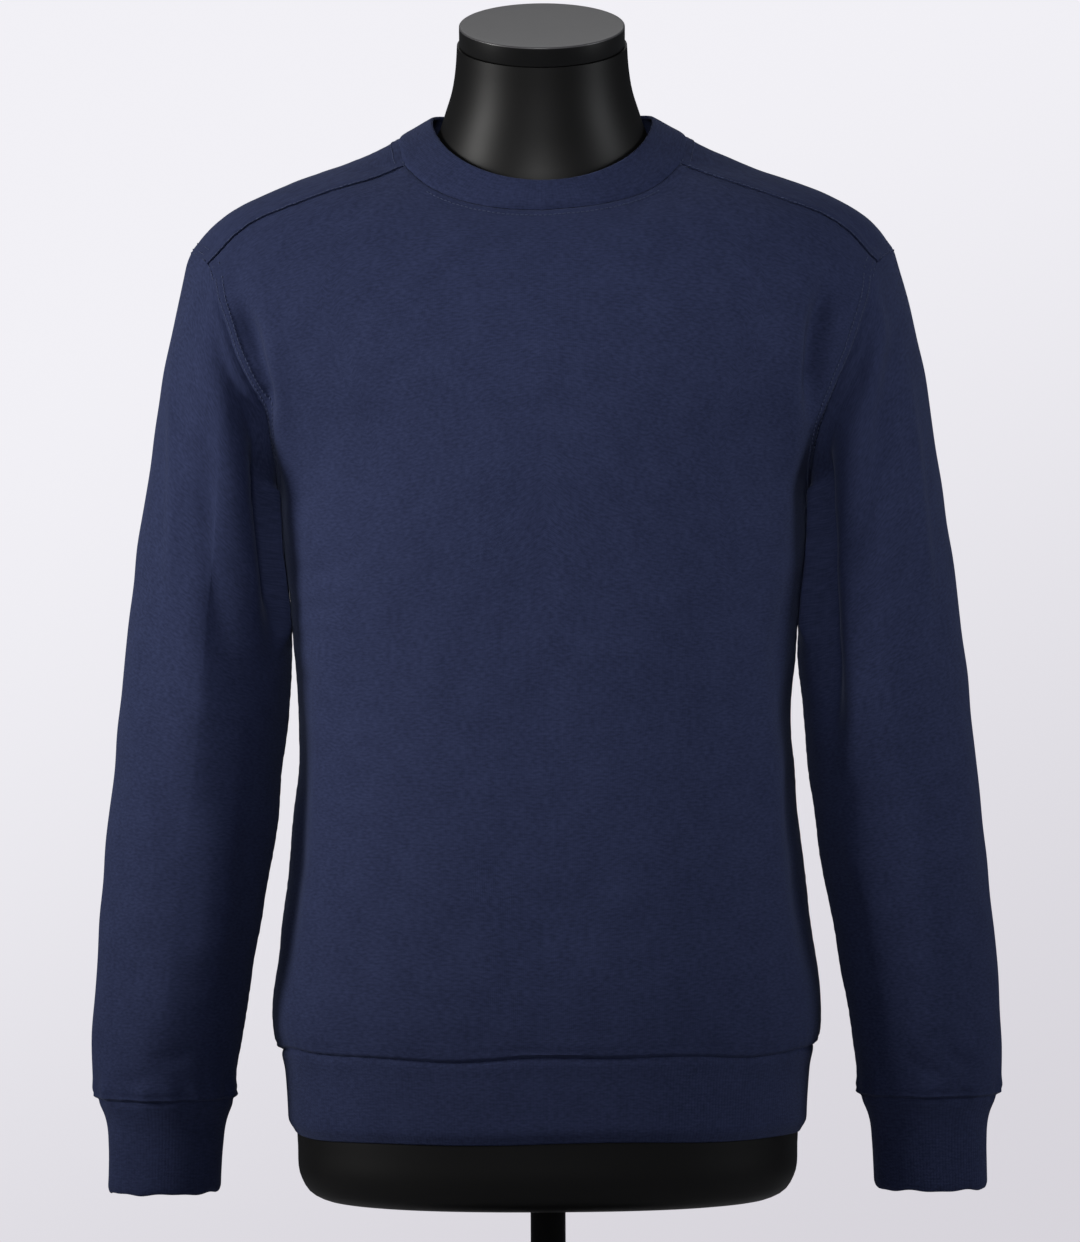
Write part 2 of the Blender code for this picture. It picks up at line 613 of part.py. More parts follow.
def make_form(collection):
    """The limbless body of the form: rings that lean forward up the neck, closed at both ends."""
    turn = np.linspace(0, 2 * np.pi, FORM_SIDES, endpoint=False)[None]
    z, middle_y, lean, half_width, front, back, square = (
        FORM_LEVELS[:, column][:, None] for column in range(7))
    reach = (np.abs(np.sin(turn)) ** square + np.abs(np.cos(turn)) ** square) ** (-1 / square)
    depth = np.where(np.cos(turn) > 0, front, back) * reach * np.cos(turn)
    x = half_width * reach * np.sin(turn)
    y = middle_y - depth * np.cos(np.radians(lean))
    height = z - depth * np.sin(np.radians(lean))
    rings = np.stack((x, y, height), axis=-1)
    count = len(FORM_LEVELS)
    number = np.arange(count * FORM_SIDES).reshape(count, FORM_SIDES)
    number = np.concatenate((number, number[:, :1]), axis=1)
    faces = quads(number, False).tolist()
    faces.append(number[0, :-1][::-1].tolist())
    faces.append(number[-1, :-1].tolist())
    mesh = bpy.data.meshes.new("form_torso")
    mesh.from_pydata((rings.reshape(-1, 3) * MM).tolist(), [], faces)
    mesh.shade_smooth()
    mesh.set_sharp_from_angle(angle=np.radians(SHARP_EDGE_ANGLE))
    add_part("form_torso", mesh, "black_form_skin", collection)


def turned_part(name, profile, material_name, collection):
    """A round piece: its profile at +X, top to bottom on the outer side, turned about Z."""
    mesh = bpy.data.meshes.new(name)
    points = [(radius * MM, 0, height * MM) for radius, height in profile]
    mesh.from_pydata(points, [(i, i + 1) for i in range(len(points) - 1)], [])
    part = add_part(name, mesh, material_name, collection)
    screw = part.modifiers.new("turn", "SCREW")
    screw.axis = "Z"
    screw.steps = ROUND_STEPS
    screw.render_steps = ROUND_STEPS
    screw.use_merge_vertices = True
    screw.merge_threshold = MERGE_METRES
    return part


def rounded_disc(radius, bottom, top, edge):
    """Profile of a disc with a quarter round of the given size at its top edge."""
    bend = np.radians((90, 60, 30, 0))
    corner = [(radius - edge + edge * np.cos(a), top - edge + edge * np.sin(a)) for a in bend]
    return [(0, top)] + corner + [(radius, bottom), (0, bottom)]


def make_stand(collection):
    """Round base, pole and the disc that caps the neck."""
    base = rounded_disc(BASE_RADIUS, 0, BASE_HEIGHT, BASE_EDGE)
    turned_part("form_base", base, "black_base_paint", collection)
    pole_bottom = BASE_HEIGHT + SEAM_GAP
    pole_top = FORM_BOTTOM - SEAM_GAP
    pole = [(0, pole_top), (POLE_RADIUS, pole_top), (POLE_RADIUS, pole_bottom), (0, pole_bottom)]
    turned_part("form_pole", pole, "black_pole_paint", collection)
    cap_profile = rounded_disc(CAP_RADIUS, SEAM_GAP, CAP_HEIGHT, CAP_EDGE)
    cap = turned_part("neck_cap", cap_profile, "grey_cap_top", collection)
    cap.location = (0, NECK_TOP_Y * MM, NECK_TOP_Z * MM)
    cap.rotation_euler = (np.radians(CAP_LEAN), 0, 0)


def main():
    """Clear the scene's objects, then build every piece in one collection."""
    for old in list(bpy.data.objects):
        bpy.data.objects.remove(old, do_unlink=True)
    collection = bpy.data.collections.new("sweatshirt_on_form")
    bpy.context.scene.collection.children.link(collection)
    make_cloth(collection)
    make_form(collection)
    make_stand(collection)


main()
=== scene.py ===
import bpy
import numpy as np
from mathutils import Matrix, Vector
from mathutils.bvhtree import BVHTree


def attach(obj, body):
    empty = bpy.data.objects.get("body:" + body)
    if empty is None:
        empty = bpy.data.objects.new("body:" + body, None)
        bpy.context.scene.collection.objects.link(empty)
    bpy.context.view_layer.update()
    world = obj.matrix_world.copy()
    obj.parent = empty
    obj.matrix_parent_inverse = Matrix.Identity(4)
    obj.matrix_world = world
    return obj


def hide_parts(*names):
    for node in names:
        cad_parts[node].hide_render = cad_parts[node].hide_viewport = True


# A navy sweatshirt worn by a black dress form. Lengths are in millimetres until a mesh is made.
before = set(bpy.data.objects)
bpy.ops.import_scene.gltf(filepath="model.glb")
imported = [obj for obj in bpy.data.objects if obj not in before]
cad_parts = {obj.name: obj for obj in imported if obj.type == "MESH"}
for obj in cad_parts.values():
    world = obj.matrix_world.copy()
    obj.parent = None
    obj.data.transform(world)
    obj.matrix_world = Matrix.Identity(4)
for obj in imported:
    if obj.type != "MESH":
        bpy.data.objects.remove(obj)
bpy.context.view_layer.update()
mm = 0.001
print("frame loaded:", len(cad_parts), "nodes")


def unit(vectors):
    # each vector over its own length
    return vectors / np.maximum(np.linalg.norm(vectors, axis=-1, keepdims=True), 1e-9)


def softStep(value):
    # 0 below 0, 1 above 1, and 3t^2 - 2t^3 between
    t = np.clip(value, 0, 1)
    return t * t * (3 - 2 * t)


def bell(value, width):
    # exp of minus half the square of value over width
    return np.exp(-0.5 * (value / width) ** 2)


def smoothCurve(at, knots, values):
    # cubic through the values along axis 0, with each knot's slope from its neighbours
    at = np.asarray(at, dtype=float)
    values = np.asarray(values, dtype=float)
    slopes = np.gradient(values, knots, axis=0)
    start = np.clip(np.searchsorted(knots, at) - 1, 0, len(knots) - 2)
    step = knots[start + 1] - knots[start]
    t = np.clip((at - knots[start]) / step, 0, 1)
    shape = at.shape + (1,) * (values.ndim - 1)
    t = t.reshape(shape)
    step = step.reshape(shape)
    rise = values[start] * (1 + 2 * t) * (1 - t) ** 2 + values[start + 1] * t * t * (3 - 2 * t)
    return rise + (slopes[start] * t * (1 - t) ** 2 - slopes[start + 1] * t * t * (1 - t)) * step


def gradedSteps(length, step, first, last):
    # positions from 0 to length, a plain step apart inside and closer near the two ends
    fine = np.linspace(0, length, 3000)
    local = np.minimum(step, np.minimum(first + 0.3 * fine, last + 0.3 * (length - fine)))
    dense = (1 / local[1:] + 1 / local[:-1]) / 2 * np.diff(fine)
    count = np.concatenate(([0], np.cumsum(dense)))
    return np.interp(np.linspace(0, count[-1], int(np.ceil(count[-1])) + 1), count, fine)


def lineLengths(line):
    # distance run along a line, at each of its points
    return np.concatenate(([0], np.cumsum(np.linalg.norm(np.diff(line, axis=0), axis=-1))))


def evenLine(line, step):
    # the same line with its points a step apart
    run = lineLengths(line)
    at = np.linspace(0, run[-1], max(2, int(run[-1] / step) + 1))
    return np.stack([np.interp(at, run, line[:, i]) for i in range(line.shape[1])], axis=-1)


def lineField(points, line, reach=60.0):
    # each point's distance from a line, and how far along the line its nearest spot is
    flat = points.reshape(-1, 3)
    low, high = line.min(axis=0) - reach, line.max(axis=0) + reach
    near = np.flatnonzero(np.all((flat > low) & (flat < high), axis=-1))
    some = flat[near]
    best = np.full(len(some), 1e6)
    run = np.zeros(len(some))
    starts = lineLengths(line)
    for start, a, b in zip(starts, line[:-1], line[1:]):
        way = b - a
        length = np.linalg.norm(way)
        t = np.clip((some - a) @ way / length ** 2, 0, 1)
        off = np.linalg.norm(some - a - t[:, None] * way, axis=-1)
        closer = off < best
        best = np.where(closer, off, best)
        run = np.where(closer, start + t * length, run)
    distance = np.full(len(flat), 1e6)
    along = np.zeros(len(flat))
    distance[near] = best
    along[near] = run
    return distance.reshape(points.shape[:-1]), along.reshape(points.shape[:-1])


def gridNormals(points, closed=False):
    # cross product of the ways along and up a grid whose rows climb and whose columns run
    # anticlockwise seen from above
    if closed:
        wide = np.concatenate((points[:, -1:], points, points[:, :1]), axis=1)
        along = np.gradient(wide, axis=1)[:, 1:-1]
    else:
        along = np.gradient(points, axis=1)
    return unit(np.cross(along, np.gradient(points, axis=0)))


unevenness = {"seed": 7, "longest": 130, "shortest": 34, "waves": 14, "rise": 0.34, "upShare": 0.75}


def ripple(points):
    # soft unevenness of hanging cloth: a sum of sine waves in random directions
    random = np.random.default_rng(unevenness["seed"])
    longest = unevenness["longest"]
    height = np.zeros(points.shape[:-1])
    for wave in np.geomspace(longest, unevenness["shortest"], unevenness["waves"]):
        way = random.normal(size=3) * np.array((1.0, 1.0, unevenness["upShare"]))
        way = way / np.linalg.norm(way) * 2 * np.pi / wave
        rise = unevenness["rise"] * wave / longest
        height = height + rise * np.sin(points @ way + random.uniform(0, 6.28))
    return height


foldEnds = {"steps": 10, "reach": 4, "fade": 0.35, "left": 0.1}


def foldHeight(points, folds, place):
    # sum of soft ridges (rise above 0) and troughs: a bell across the fold's line, fading at its
    # two ends; place turns a face and the ways across and up into points on the cloth
    height = np.zeros(points.shape[:-1])
    rows = [(face, *row) for face, group in folds.items() for row in group]
    for face, rise, width, path, *own in rows:
        corners = place(face, *np.array(path, dtype=float).reshape(-1, 2).T)
        knots = np.arange(len(corners), dtype=float)
        line = smoothCurve(np.linspace(0, knots[-1], foldEnds["steps"]), knots, corners)
        distance, run = lineField(points, line, width * foldEnds["reach"])
        length = lineLengths(line)[-1]
        fade = (own[0] if own else foldEnds["fade"]) * length
        ends = softStep(run / fade) * softStep((length - run) / fade)
        ends = foldEnds["left"] + (1 - foldEnds["left"]) * ends
        height = height + rise * bell(distance, width) * ends
    return height


body = {
    "hemBottom": 308.0,
    "hemSeam": 366.0,
    "armpit": 750.0,
    "armholeTop": 909.0,
    "shoulderTurn": 150.0,
    "sideClimb": 1.15,
    "middleDrop": 12,
    "softening": 5.0,
    "levels": np.array((
        # z, halfWidth, front, back, sideY, square
        (308, 177, 120, 114, 1, 2.30),
        (337, 178.5, 121, 115, 1, 2.30),
        (366, 182.5, 123, 118, 1, 2.30),
        (378, 187, 127, 122, 2, 2.30),
        (400, 187, 129, 121, 2, 2.30),
        (430, 183, 129, 117, 3, 2.30),
        (465, 178, 127, 111, 3, 2.35),
        (533, 171.5, 125, 102, 4, 2.40),
        (602, 169, 124, 98, 4, 2.40),
        (640, 171.8, 125, 99, 4, 2.40),
        (668, 174.4, 126.5, 101, 4, 2.40),
        (700, 177.8, 129, 104, 5, 2.35),
        (725, 180, 131, 106, 5, 2.30),
        (750, 182, 133, 108, 5, 2.20),
        (765, 189, 133, 109, 5, 2.15),
        (784, 202, 133, 110, 5, 2.10),
        (812, 226, 131, 110, 5, 2.10),
        (832, 246, 128, 109, 5, 2.05),
        (853, 261, 124, 107, 5, 2.00),
        (873, 266, 119, 104, 5, 2.00),
        (891, 257, 112, 100, 5, 2.00),
        (909, 240, 103, 95, 5, 2.00),
        (922, 231, 94, 90, 5, 2.00),
        (934, 218.5, 84, 85, 5, 2.00),
        (942, 207, 76, 81, 5, 2.00),
        (950, 189, 68, 77, 5, 2.00),
        (965, 148, 53, 68, 5, 2.00),
        (980, 112, 40, 58, 5, 2.00),
        (992, 92, 30, 49, 5, 2.00),
        (1000, 80, 24, 43, 5, 2.00),
    ), dtype=float),
    "armhole": np.array((
        # turn, angle
        (0, 90), (30, 76), (55, 65.5), (92, 56), (123, 56), (150, 65), (165, 76), (180, 90),
    ), dtype=float),
    "shoulderSeam": np.array((
        # z, angle
        (898.3, 65), (916, 63.8), (931, 59), (940, 52.5), (948, 48), (955, 44), (966.5, 40.5),
    ), dtype=float),
    "neckline": np.array((
        # angle, z
        (0, 932), (10, 935), (16, 940.5), (22, 947.5), (33, 960), (40.5, 966.5), (53, 976),
        (70, 984), (90, 988.5), (135, 986.5), (180, 984),
    ), dtype=float),
    # folds by the face that they are on: rise, width, and the way across and up at each point of
    # the line, where across is x on the front and back and y on the two sides; fade if its own
    "folds": {
        "front": (
            (-11, 6, (-206, 884, -198, 852, -187, 815, -184, 780)),
            (4.5, 9, (-192, 890, -184, 838, -176, 772, -172, 700)),
            (-13, 6, (194, 896, 184, 852, 180, 815, 177, 785)),
            (3.5, 10, (172, 880, 168, 830, 166, 760, 160, 700)),
            (-3, 6, (203, 896, 200, 858)),
            (2.6, 13, (-136, 705, -148, 600, -160, 500)),
            (-1.3, 4.5, (-176, 694, -152, 690, -130, 683)),
            (-1.5, 4.5, (-176, 672, -150, 664, -126, 662)),
            (-1.2, 4, (-174, 648, -152, 645, -134, 639)),
            (-1.1, 4.5, (-172, 625, -154, 618, -140, 616)),
            (2.4, 12, (144, 660, 150, 560, 166, 460)),
            (-1.6, 8, (168, 700, 156, 640, 150, 600)),
            (0.9, 22, (-60, 640, -66, 520, -58, 420)),
            (0.9, 20, (48, 560, 60, 480, 78, 400)),
            (-1.2, 12, (-120, 470, -128, 420, -122, 385)),
            (-1.2, 12, (112, 450, 118, 400, 110, 378)),
        ),
        "right": (
            (-3.4, 11, (-34, 600, -40, 480, -38, 380)),
            (3.2, 17, (36, 560, 44, 450, 42, 385)),
        ),
        "left": (
            (-3.0, 11, (-34, 590, -42, 480, -38, 380)),
            (2.8, 17, (36, 570, 44, 450, 42, 385)),
        ),
        "back": (
            (-5.5, 9, (-196, 884, -182, 830, -172, 770)),
            (-5, 9, (194, 880, 184, 826, 172, 776)),
            (3.2, 20, (-150, 860, -130, 740, -110, 600)),
            (2.8, 20, (146, 866, 132, 750, 118, 610)),
            (-1.8, 20, (-60, 700, -40, 560, -70, 430)),
            (-1.6, 18, (60, 640, 80, 520, 64, 420)),
            (-1.6, 12, (-110, 560, -60, 540, 0, 548, 70, 536)),
            (1.6, 12, (-90, 510, -20, 496, 60, 506, 110, 498)),
            (2.4, 14, (-130, 650, -150, 540, -150, 420)),
            (2.4, 14, (134, 640, 150, 540, 146, 420)),
        ),
    },
}
levelZ = np.arange(300, 1000.5, 1.0)


def softenedLevels(levels, width):
    # the level table at every millimetre, averaged over a bell so that it has no corners
    raw = smoothCurve(np.clip(levelZ, levels[0, 0], None), levels[:, 0], levels[:, 1:])
    reach = int(width * 3)
    kernel = bell(np.arange(-reach, reach + 1), width)
    kernel = kernel / kernel.sum()
    before = 2 * raw[:1] - raw[reach:0:-1]
    after = 2 * raw[-1:] - raw[-2:-reach - 2:-1]
    padded = np.concatenate((before, raw, after))
    return np.stack([np.convolve(padded[:, i], kernel, "valid") for i in range(5)], axis=-1)


bodyTable = softenedLevels(body["levels"], body["softening"])


def bodyAt(z):
    # half-width, front, back, side line and squareness at a height
    return [np.interp(z, levelZ, bodyTable[:, column]) for column in range(5)]


def bodyBase(angle, z):
    # superellipse round the side line: 0 is in front, 90 degrees at +X, 180 behind
    halfWidth, front, back, sideY, square = bodyAt(z)
    sine, cosine = np.sin(angle), np.cos(angle)
    reach = (np.abs(sine) ** square + np.abs(cosine) ** square) ** (-1 / square)
    depth = np.where(cosine > 0, front, back)
    x, y = halfWidth * reach * sine, sideY - depth * reach * cosine
    return np.stack((x, y, z + 0 * angle), axis=-1)


def placeOnBody(face, across, z):
    # a fold's points: the superellipse solved for the way that the face does not give
    halfWidth, front, back, sideY, square = bodyAt(z)
    if face in ("front", "back"):
        share = np.clip(np.abs(across) / halfWidth, 0, 0.9999)
        deep = (1 - share ** square) ** (1 / square)
        y = sideY - front * deep if face == "front" else sideY + back * deep
        return np.stack((across, y, z), axis=-1)
    depth = np.where(across < sideY, front, back)
    share = np.clip(np.abs(across - sideY) / depth, 0, 0.9999)
    wide = halfWidth * (1 - share ** square) ** (1 / square)
    return np.stack((wide if face == "left" else -wide, across, z), axis=-1)


def hemShift(angle, z):
    # the hem seam wanders up and down, fading out a few fingers above and below it
    wave = 1.3 * np.sin(5 * angle + 0.6) + 0.8 * np.sin(11 * angle + 2.1) - 1.0 * np.cos(angle)
    return wave * bell(z - body["hemSeam"], 16)


def wornBody(angle, z):
    # the base shape moved along its own normal by the folds and the ripple
    angle, z = np.broadcast_arrays(np.asarray(angle, float), np.asarray(z, float))
    z = z + hemShift(angle, z)
    base = bodyBase(angle, z)
    across = bodyBase(angle + 0.002, z) - bodyBase(angle - 0.002, z)
    up = bodyBase(angle, z + 0.5) - bodyBase(angle, z - 0.5)
    normal = unit(np.cross(across, up))
    height = foldHeight(base, body["folds"], placeOnBody) + ripple(base)
    ribs = softStep((body["hemSeam"] + 6 - z) / 12)
    return base + normal * (height * (1 - 0.75 * ribs))[..., None]


def wornNormal(angle, z):
    # cross product of small steps round and up the worn body
    across = wornBody(angle + 0.01, z) - wornBody(angle - 0.01, z)
    return unit(np.cross(across, wornBody(angle, z + 1.5) - wornBody(angle, z - 1.5)))


# a measure up the body that also counts how far it leans in, so that cells stay even
leanIn = np.abs(np.gradient(np.maximum(bodyTable[:, 1], bodyTable[:, 2])))
leanIn = leanIn + np.abs(np.gradient(bodyTable[:, 0])) * (levelZ > 915)
climbOf = np.concatenate(([0], np.cumsum(np.sqrt(1 + leanIn[1:] ** 2))))


def armholeLine(turn):
    # angle and height round the armhole: 0 at the armpit, 180 at the top, past it down the back
    half = np.where(turn > 180, 360 - turn, turn)
    angle = smoothCurve(half, body["armhole"][:, 0], body["armhole"][:, 1])
    angle = np.where(turn > 180, 180 - angle, angle)
    middle = (body["armpit"] + body["armholeTop"]) / 2
    z = middle - (body["armholeTop"] - body["armpit"]) / 2 * np.cos(np.radians(turn))
    return np.stack((np.radians(angle), z), axis=-1)


def shoulderLine(share):
    # angle and height along the shoulder seam: 0 at the neckline, 1 at the armhole
    seam = body["shoulderSeam"]
    z = seam[-1, 0] + (seam[0, 0] - seam[-1, 0]) * share
    return np.stack((np.radians(smoothCurve(z, seam[:, 0], seam[:, 1])), z), axis=-1)


def neckLine(start, end, share):
    # angle and height along the neckline between two angles, in even steps of its length
    fine = np.linspace(start, end, 600)
    z = smoothCurve(fine, body["neckline"][:, 0], body["neckline"][:, 1])
    run = lineLengths(bodyBase(np.radians(fine), z))
    angle = np.interp(share * run[-1], run, fine)
    z = smoothCurve(angle, body["neckline"][:, 0], body["neckline"][:, 1])
    return np.stack((np.radians(angle), z), axis=-1)


panelPlans = {
    "front": dict(middle=0.0, neckCells=10, shoulderCells=8, sideCells=12, armCells=13,
                  startTurn=0.0),
    "back": dict(middle=180.0, neckCells=11, shoulderCells=8, sideCells=12, armCells=18,
                 startTurn=360.0),
}
girthRadius = 150.0
# the run of each edge of half a panel, and the sizes of the fine cells: plain, and at seams
spans = {"neck": 150.0, "shoulder": 115.0, "side": 385.0, "arm": 250.0}
fineCell = {"across": 3.3, "side": 3.6, "arm": 3.2, "seam": 0.7}


def panelEdges(plan, across, up):
    # the four edges of half a panel as angle and climb, at places counted in cells
    columns = plan["neckCells"] + plan["shoulderCells"]
    middle = np.radians(plan["middle"])
    corner = body["shoulderSeam"][-1, 1]
    angle = middle + (np.pi / 2 - middle) * across / columns
    bottom = np.stack((angle, np.full(len(across), body["hemSeam"])), axis=-1)
    neck = neckLine(plan["middle"], corner, np.clip(across / plan["neckCells"], 0, 1))
    shoulder = shoulderLine(np.clip(across / plan["shoulderCells"]
                                    - plan["neckCells"] / plan["shoulderCells"], 0, 1))
    top = np.where((across <= plan["neckCells"])[:, None], neck, shoulder)
    low = np.clip(up / plan["sideCells"], 0, 1) ** body["sideClimb"]
    sideZ = body["hemSeam"] + (body["armpit"] - body["hemSeam"]) * low
    seam = np.stack((np.full(len(up), np.pi / 2), sideZ), axis=-1)
    high = np.clip((up - plan["sideCells"]) / plan["armCells"], 0, 1)
    arm = armholeLine(plan["startTurn"] + (body["shoulderTurn"] - plan["startTurn"]) * high)
    side = np.where((up <= plan["sideCells"])[:, None], seam, arm)
    edges = [bottom, top, side]
    for edge in edges:
        edge[:, 1] = np.interp(edge[:, 1], levelZ, climbOf)
    start = np.interp(body["hemSeam"], levelZ, climbOf)
    waist = np.interp(body["armpit"] - body["middleDrop"], levelZ, climbOf)
    end = np.interp(neck[0, 1], levelZ, climbOf)
    climb = np.where(up <= plan["sideCells"], start + (waist - start) * low,
                     waist + (end - waist) * high)
    centre = np.stack((np.full(len(up), middle), climb), axis=-1)
    return bottom, top, centre, side


def blendPatch(bottom, top, centre, side, across, up):
    # sum of the blends of both pairs of edges, less the blend of the four corners
    across = (across / across[-1])[None, :, None]
    up = (up / up[-1])[:, None, None]
    between = (1 - up) * bottom[None] + up * top[None]
    beside = (1 - across) * centre[:, None] + across * side[:, None]
    corners = ((1 - up) * ((1 - across) * bottom[0] + across * bottom[-1])
               + up * ((1 - across) * top[0] + across * top[-1]))
    return between + beside - corners


def evenOut(grid, rounds=900, share=0.6):
    # Winslow's equations on the inner points, so that no cell folds over the armhole's corner
    scale = np.array((girthRadius, 1))
    grid = grid * scale
    for _ in range(rounds):
        across = (grid[1:-1, 2:] - grid[1:-1, :-2]) / 2
        up = (grid[2:, 1:-1] - grid[:-2, 1:-1]) / 2
        twist = (grid[2:, 2:] - grid[2:, :-2] - grid[:-2, 2:] + grid[:-2, :-2]) / 4
        upSize = np.sum(up * up, axis=-1, keepdims=True)
        acrossSize = np.sum(across * across, axis=-1, keepdims=True)
        both = np.sum(up * across, axis=-1, keepdims=True)
        settled = upSize * (grid[1:-1, 2:] + grid[1:-1, :-2])
        settled = settled + acrossSize * (grid[2:, 1:-1] + grid[:-2, 1:-1]) - 2 * both * twist
        settled = settled / (2 * (upSize + acrossSize))
        grid[1:-1, 1:-1] += share * (settled - grid[1:-1, 1:-1])
    return grid / scale


def panelGrid(plan):
    # half a panel solved on a coarse grid, read finely with its edges put back exactly, then
    # doubled across the middle: angle and height, columns anticlockwise and rows climbing
    columns = np.arange(plan["neckCells"] + plan["shoulderCells"] + 1, dtype=float)
    rows = np.arange(plan["sideCells"] + plan["armCells"] + 1, dtype=float)
    coarse = evenOut(blendPatch(*panelEdges(plan, columns, rows), columns, rows))
    wide, seam = fineCell["across"], fineCell["seam"]
    steps = {}
    for edge, cell, first, last in (("neck", wide, wide, wide), ("shoulder", wide, wide, seam),
                                    ("side", fineCell["side"], seam, fineCell["arm"]),
                                    ("arm", fineCell["arm"], fineCell["arm"], seam)):
        run = spans[edge]
        steps[edge] = gradedSteps(run, cell, first, last) / run * plan[edge + "Cells"]
    across = np.concatenate((steps["neck"], plan["neckCells"] + steps["shoulder"][1:]))
    up = np.concatenate((steps["side"], plan["sideCells"] + steps["arm"][1:]))
    fine = smoothCurve(up, rows, coarse)
    fine = smoothCurve(across, columns, fine.transpose(1, 0, 2)).transpose(1, 0, 2)
    edges = panelEdges(plan, across, up)
    held = (fine[0], fine[-1], fine[:, 0], fine[:, -1])
    fine = fine + blendPatch(*[wanted - got for wanted, got in zip(edges, held)], across, up)
    fine[..., 1] = np.interp(fine[..., 1], climbOf, levelZ)
    if plan["middle"] == 0:
        other = fine[:, :0:-1] * np.array((-1, 1))
        return np.concatenate((other, fine), axis=1)
    other = fine[:, 1:] * np.array((-1, 1)) + np.array((2 * np.pi, 0))
    return np.concatenate((fine[:, ::-1], other), axis=1)


def bothSides(line):
    # a line on the +X side and its twin on the other, each worked out on the worn body
    other = line * np.array((-1, 1))
    return {"left": wornBody(line[:, 0], line[:, 1]), "right": wornBody(other[:, 0], other[:, 1])}


armholeSeams = bothSides(armholeLine(np.linspace(0, 360, 241)))
shoulderSeams = bothSides(shoulderLine(np.linspace(0, 1, 80)))
sideSeams = bothSides(np.stack((np.full(120, np.pi / 2),
                                np.linspace(body["hemSeam"], body["armpit"], 120)), axis=-1))
neckHalf = neckLine(0, 180, np.linspace(0, 1, 121))
neckLoop = np.concatenate((neckHalf, (neckHalf * np.array((-1, 1)))[-2:0:-1]))
neckSeam = wornBody(neckLoop[:, 0], neckLoop[:, 1])
hemTurn = np.linspace(0, 2 * np.pi, 361)
hemSeam = wornBody(hemTurn, np.full(361, body["hemSeam"]))
print("seam lines done")

seamShape = {"groove": 0.9, "grooveWidth": 1.4, "puff": 0.7, "puffAt": 4.6, "puffWidth": 2.1,
             "furrow": 0.45, "furrowAt": 7.6, "furrowWidth": 0.9, "pucker": 0.17}


def seamRelief(points, line, puff=1.0, furrow=1.0, groove=1.0, reach=26.0):
    # height beside a seam: a groove at it, a puff over the allowance, a furrow under the
    # stitches, and fine puckers that run square to it
    distance, run = lineField(points, line, reach)
    shape = seamShape
    height = -shape["groove"] * groove * bell(distance, shape["grooveWidth"])
    height = height + shape["puff"] * puff * bell(distance - shape["puffAt"], shape["puffWidth"])
    height = height - shape["furrow"] * furrow * bell(distance - shape["furrowAt"],
                                                      shape["furrowWidth"])
    pucker = np.sin(run * 0.62 + 1.7 * np.sin(run * 0.11)) * np.sin(run * 0.23 + 0.8)
    return height + shape["pucker"] * pucker * bell(distance - 4.0, 5.0)


ribJoin = {"groove": 1.5, "bead": 0.9, "beadAt": 2.8, "beadWidth": 1.0, "furrow": 0.3,
           "furrowAt": 5.2, "furrowWidth": 1.1}


def joinRelief(distance, grooveWidth):
    # height on the fleece above a rib: a groove at the seam, a bead over it, and a faint furrow
    join = ribJoin
    height = join["bead"] * bell(distance - join["beadAt"], join["beadWidth"])
    height = height - join["furrow"] * bell(distance - join["furrowAt"], join["furrowWidth"])
    return height - join["groove"] * bell(distance, grooveWidth)


def tipFade(points):
    # 1 up the armhole, falling to a quarter over the shoulder's tip, where its seam lies flat
    return 1 - 0.75 * softStep((points[..., 2] - 870) / 24)


def gridFaces(number, turned=False):
    # four-cornered faces between neighbouring rows and columns of vertex numbers
    faces = np.stack((number[:-1, :-1], number[:-1, 1:], number[1:, 1:], number[1:, :-1]), axis=-1)
    faces = faces.reshape(-1, 4)
    return faces[:, ::-1] if turned else faces


def buildMesh(name, points, faces, corners=None, sharp=50):
    # a mesh from points in millimetres and lists of corners, with a UV for each corner if given
    mesh = bpy.data.meshes.new(name)
    mesh.from_pydata((points * mm).tolist(), [], faces)
    if corners is not None:
        layer = mesh.uv_layers.new(name="cloth")
        layer.data.foreach_set("uv", (corners * mm).astype(np.float32).ravel())
    mesh.shade_smooth()
    mesh.set_sharp_from_angle(angle=np.radians(sharp))
    piece = bpy.data.objects.new(name, mesh)
    bpy.context.scene.collection.objects.link(piece)
    return piece


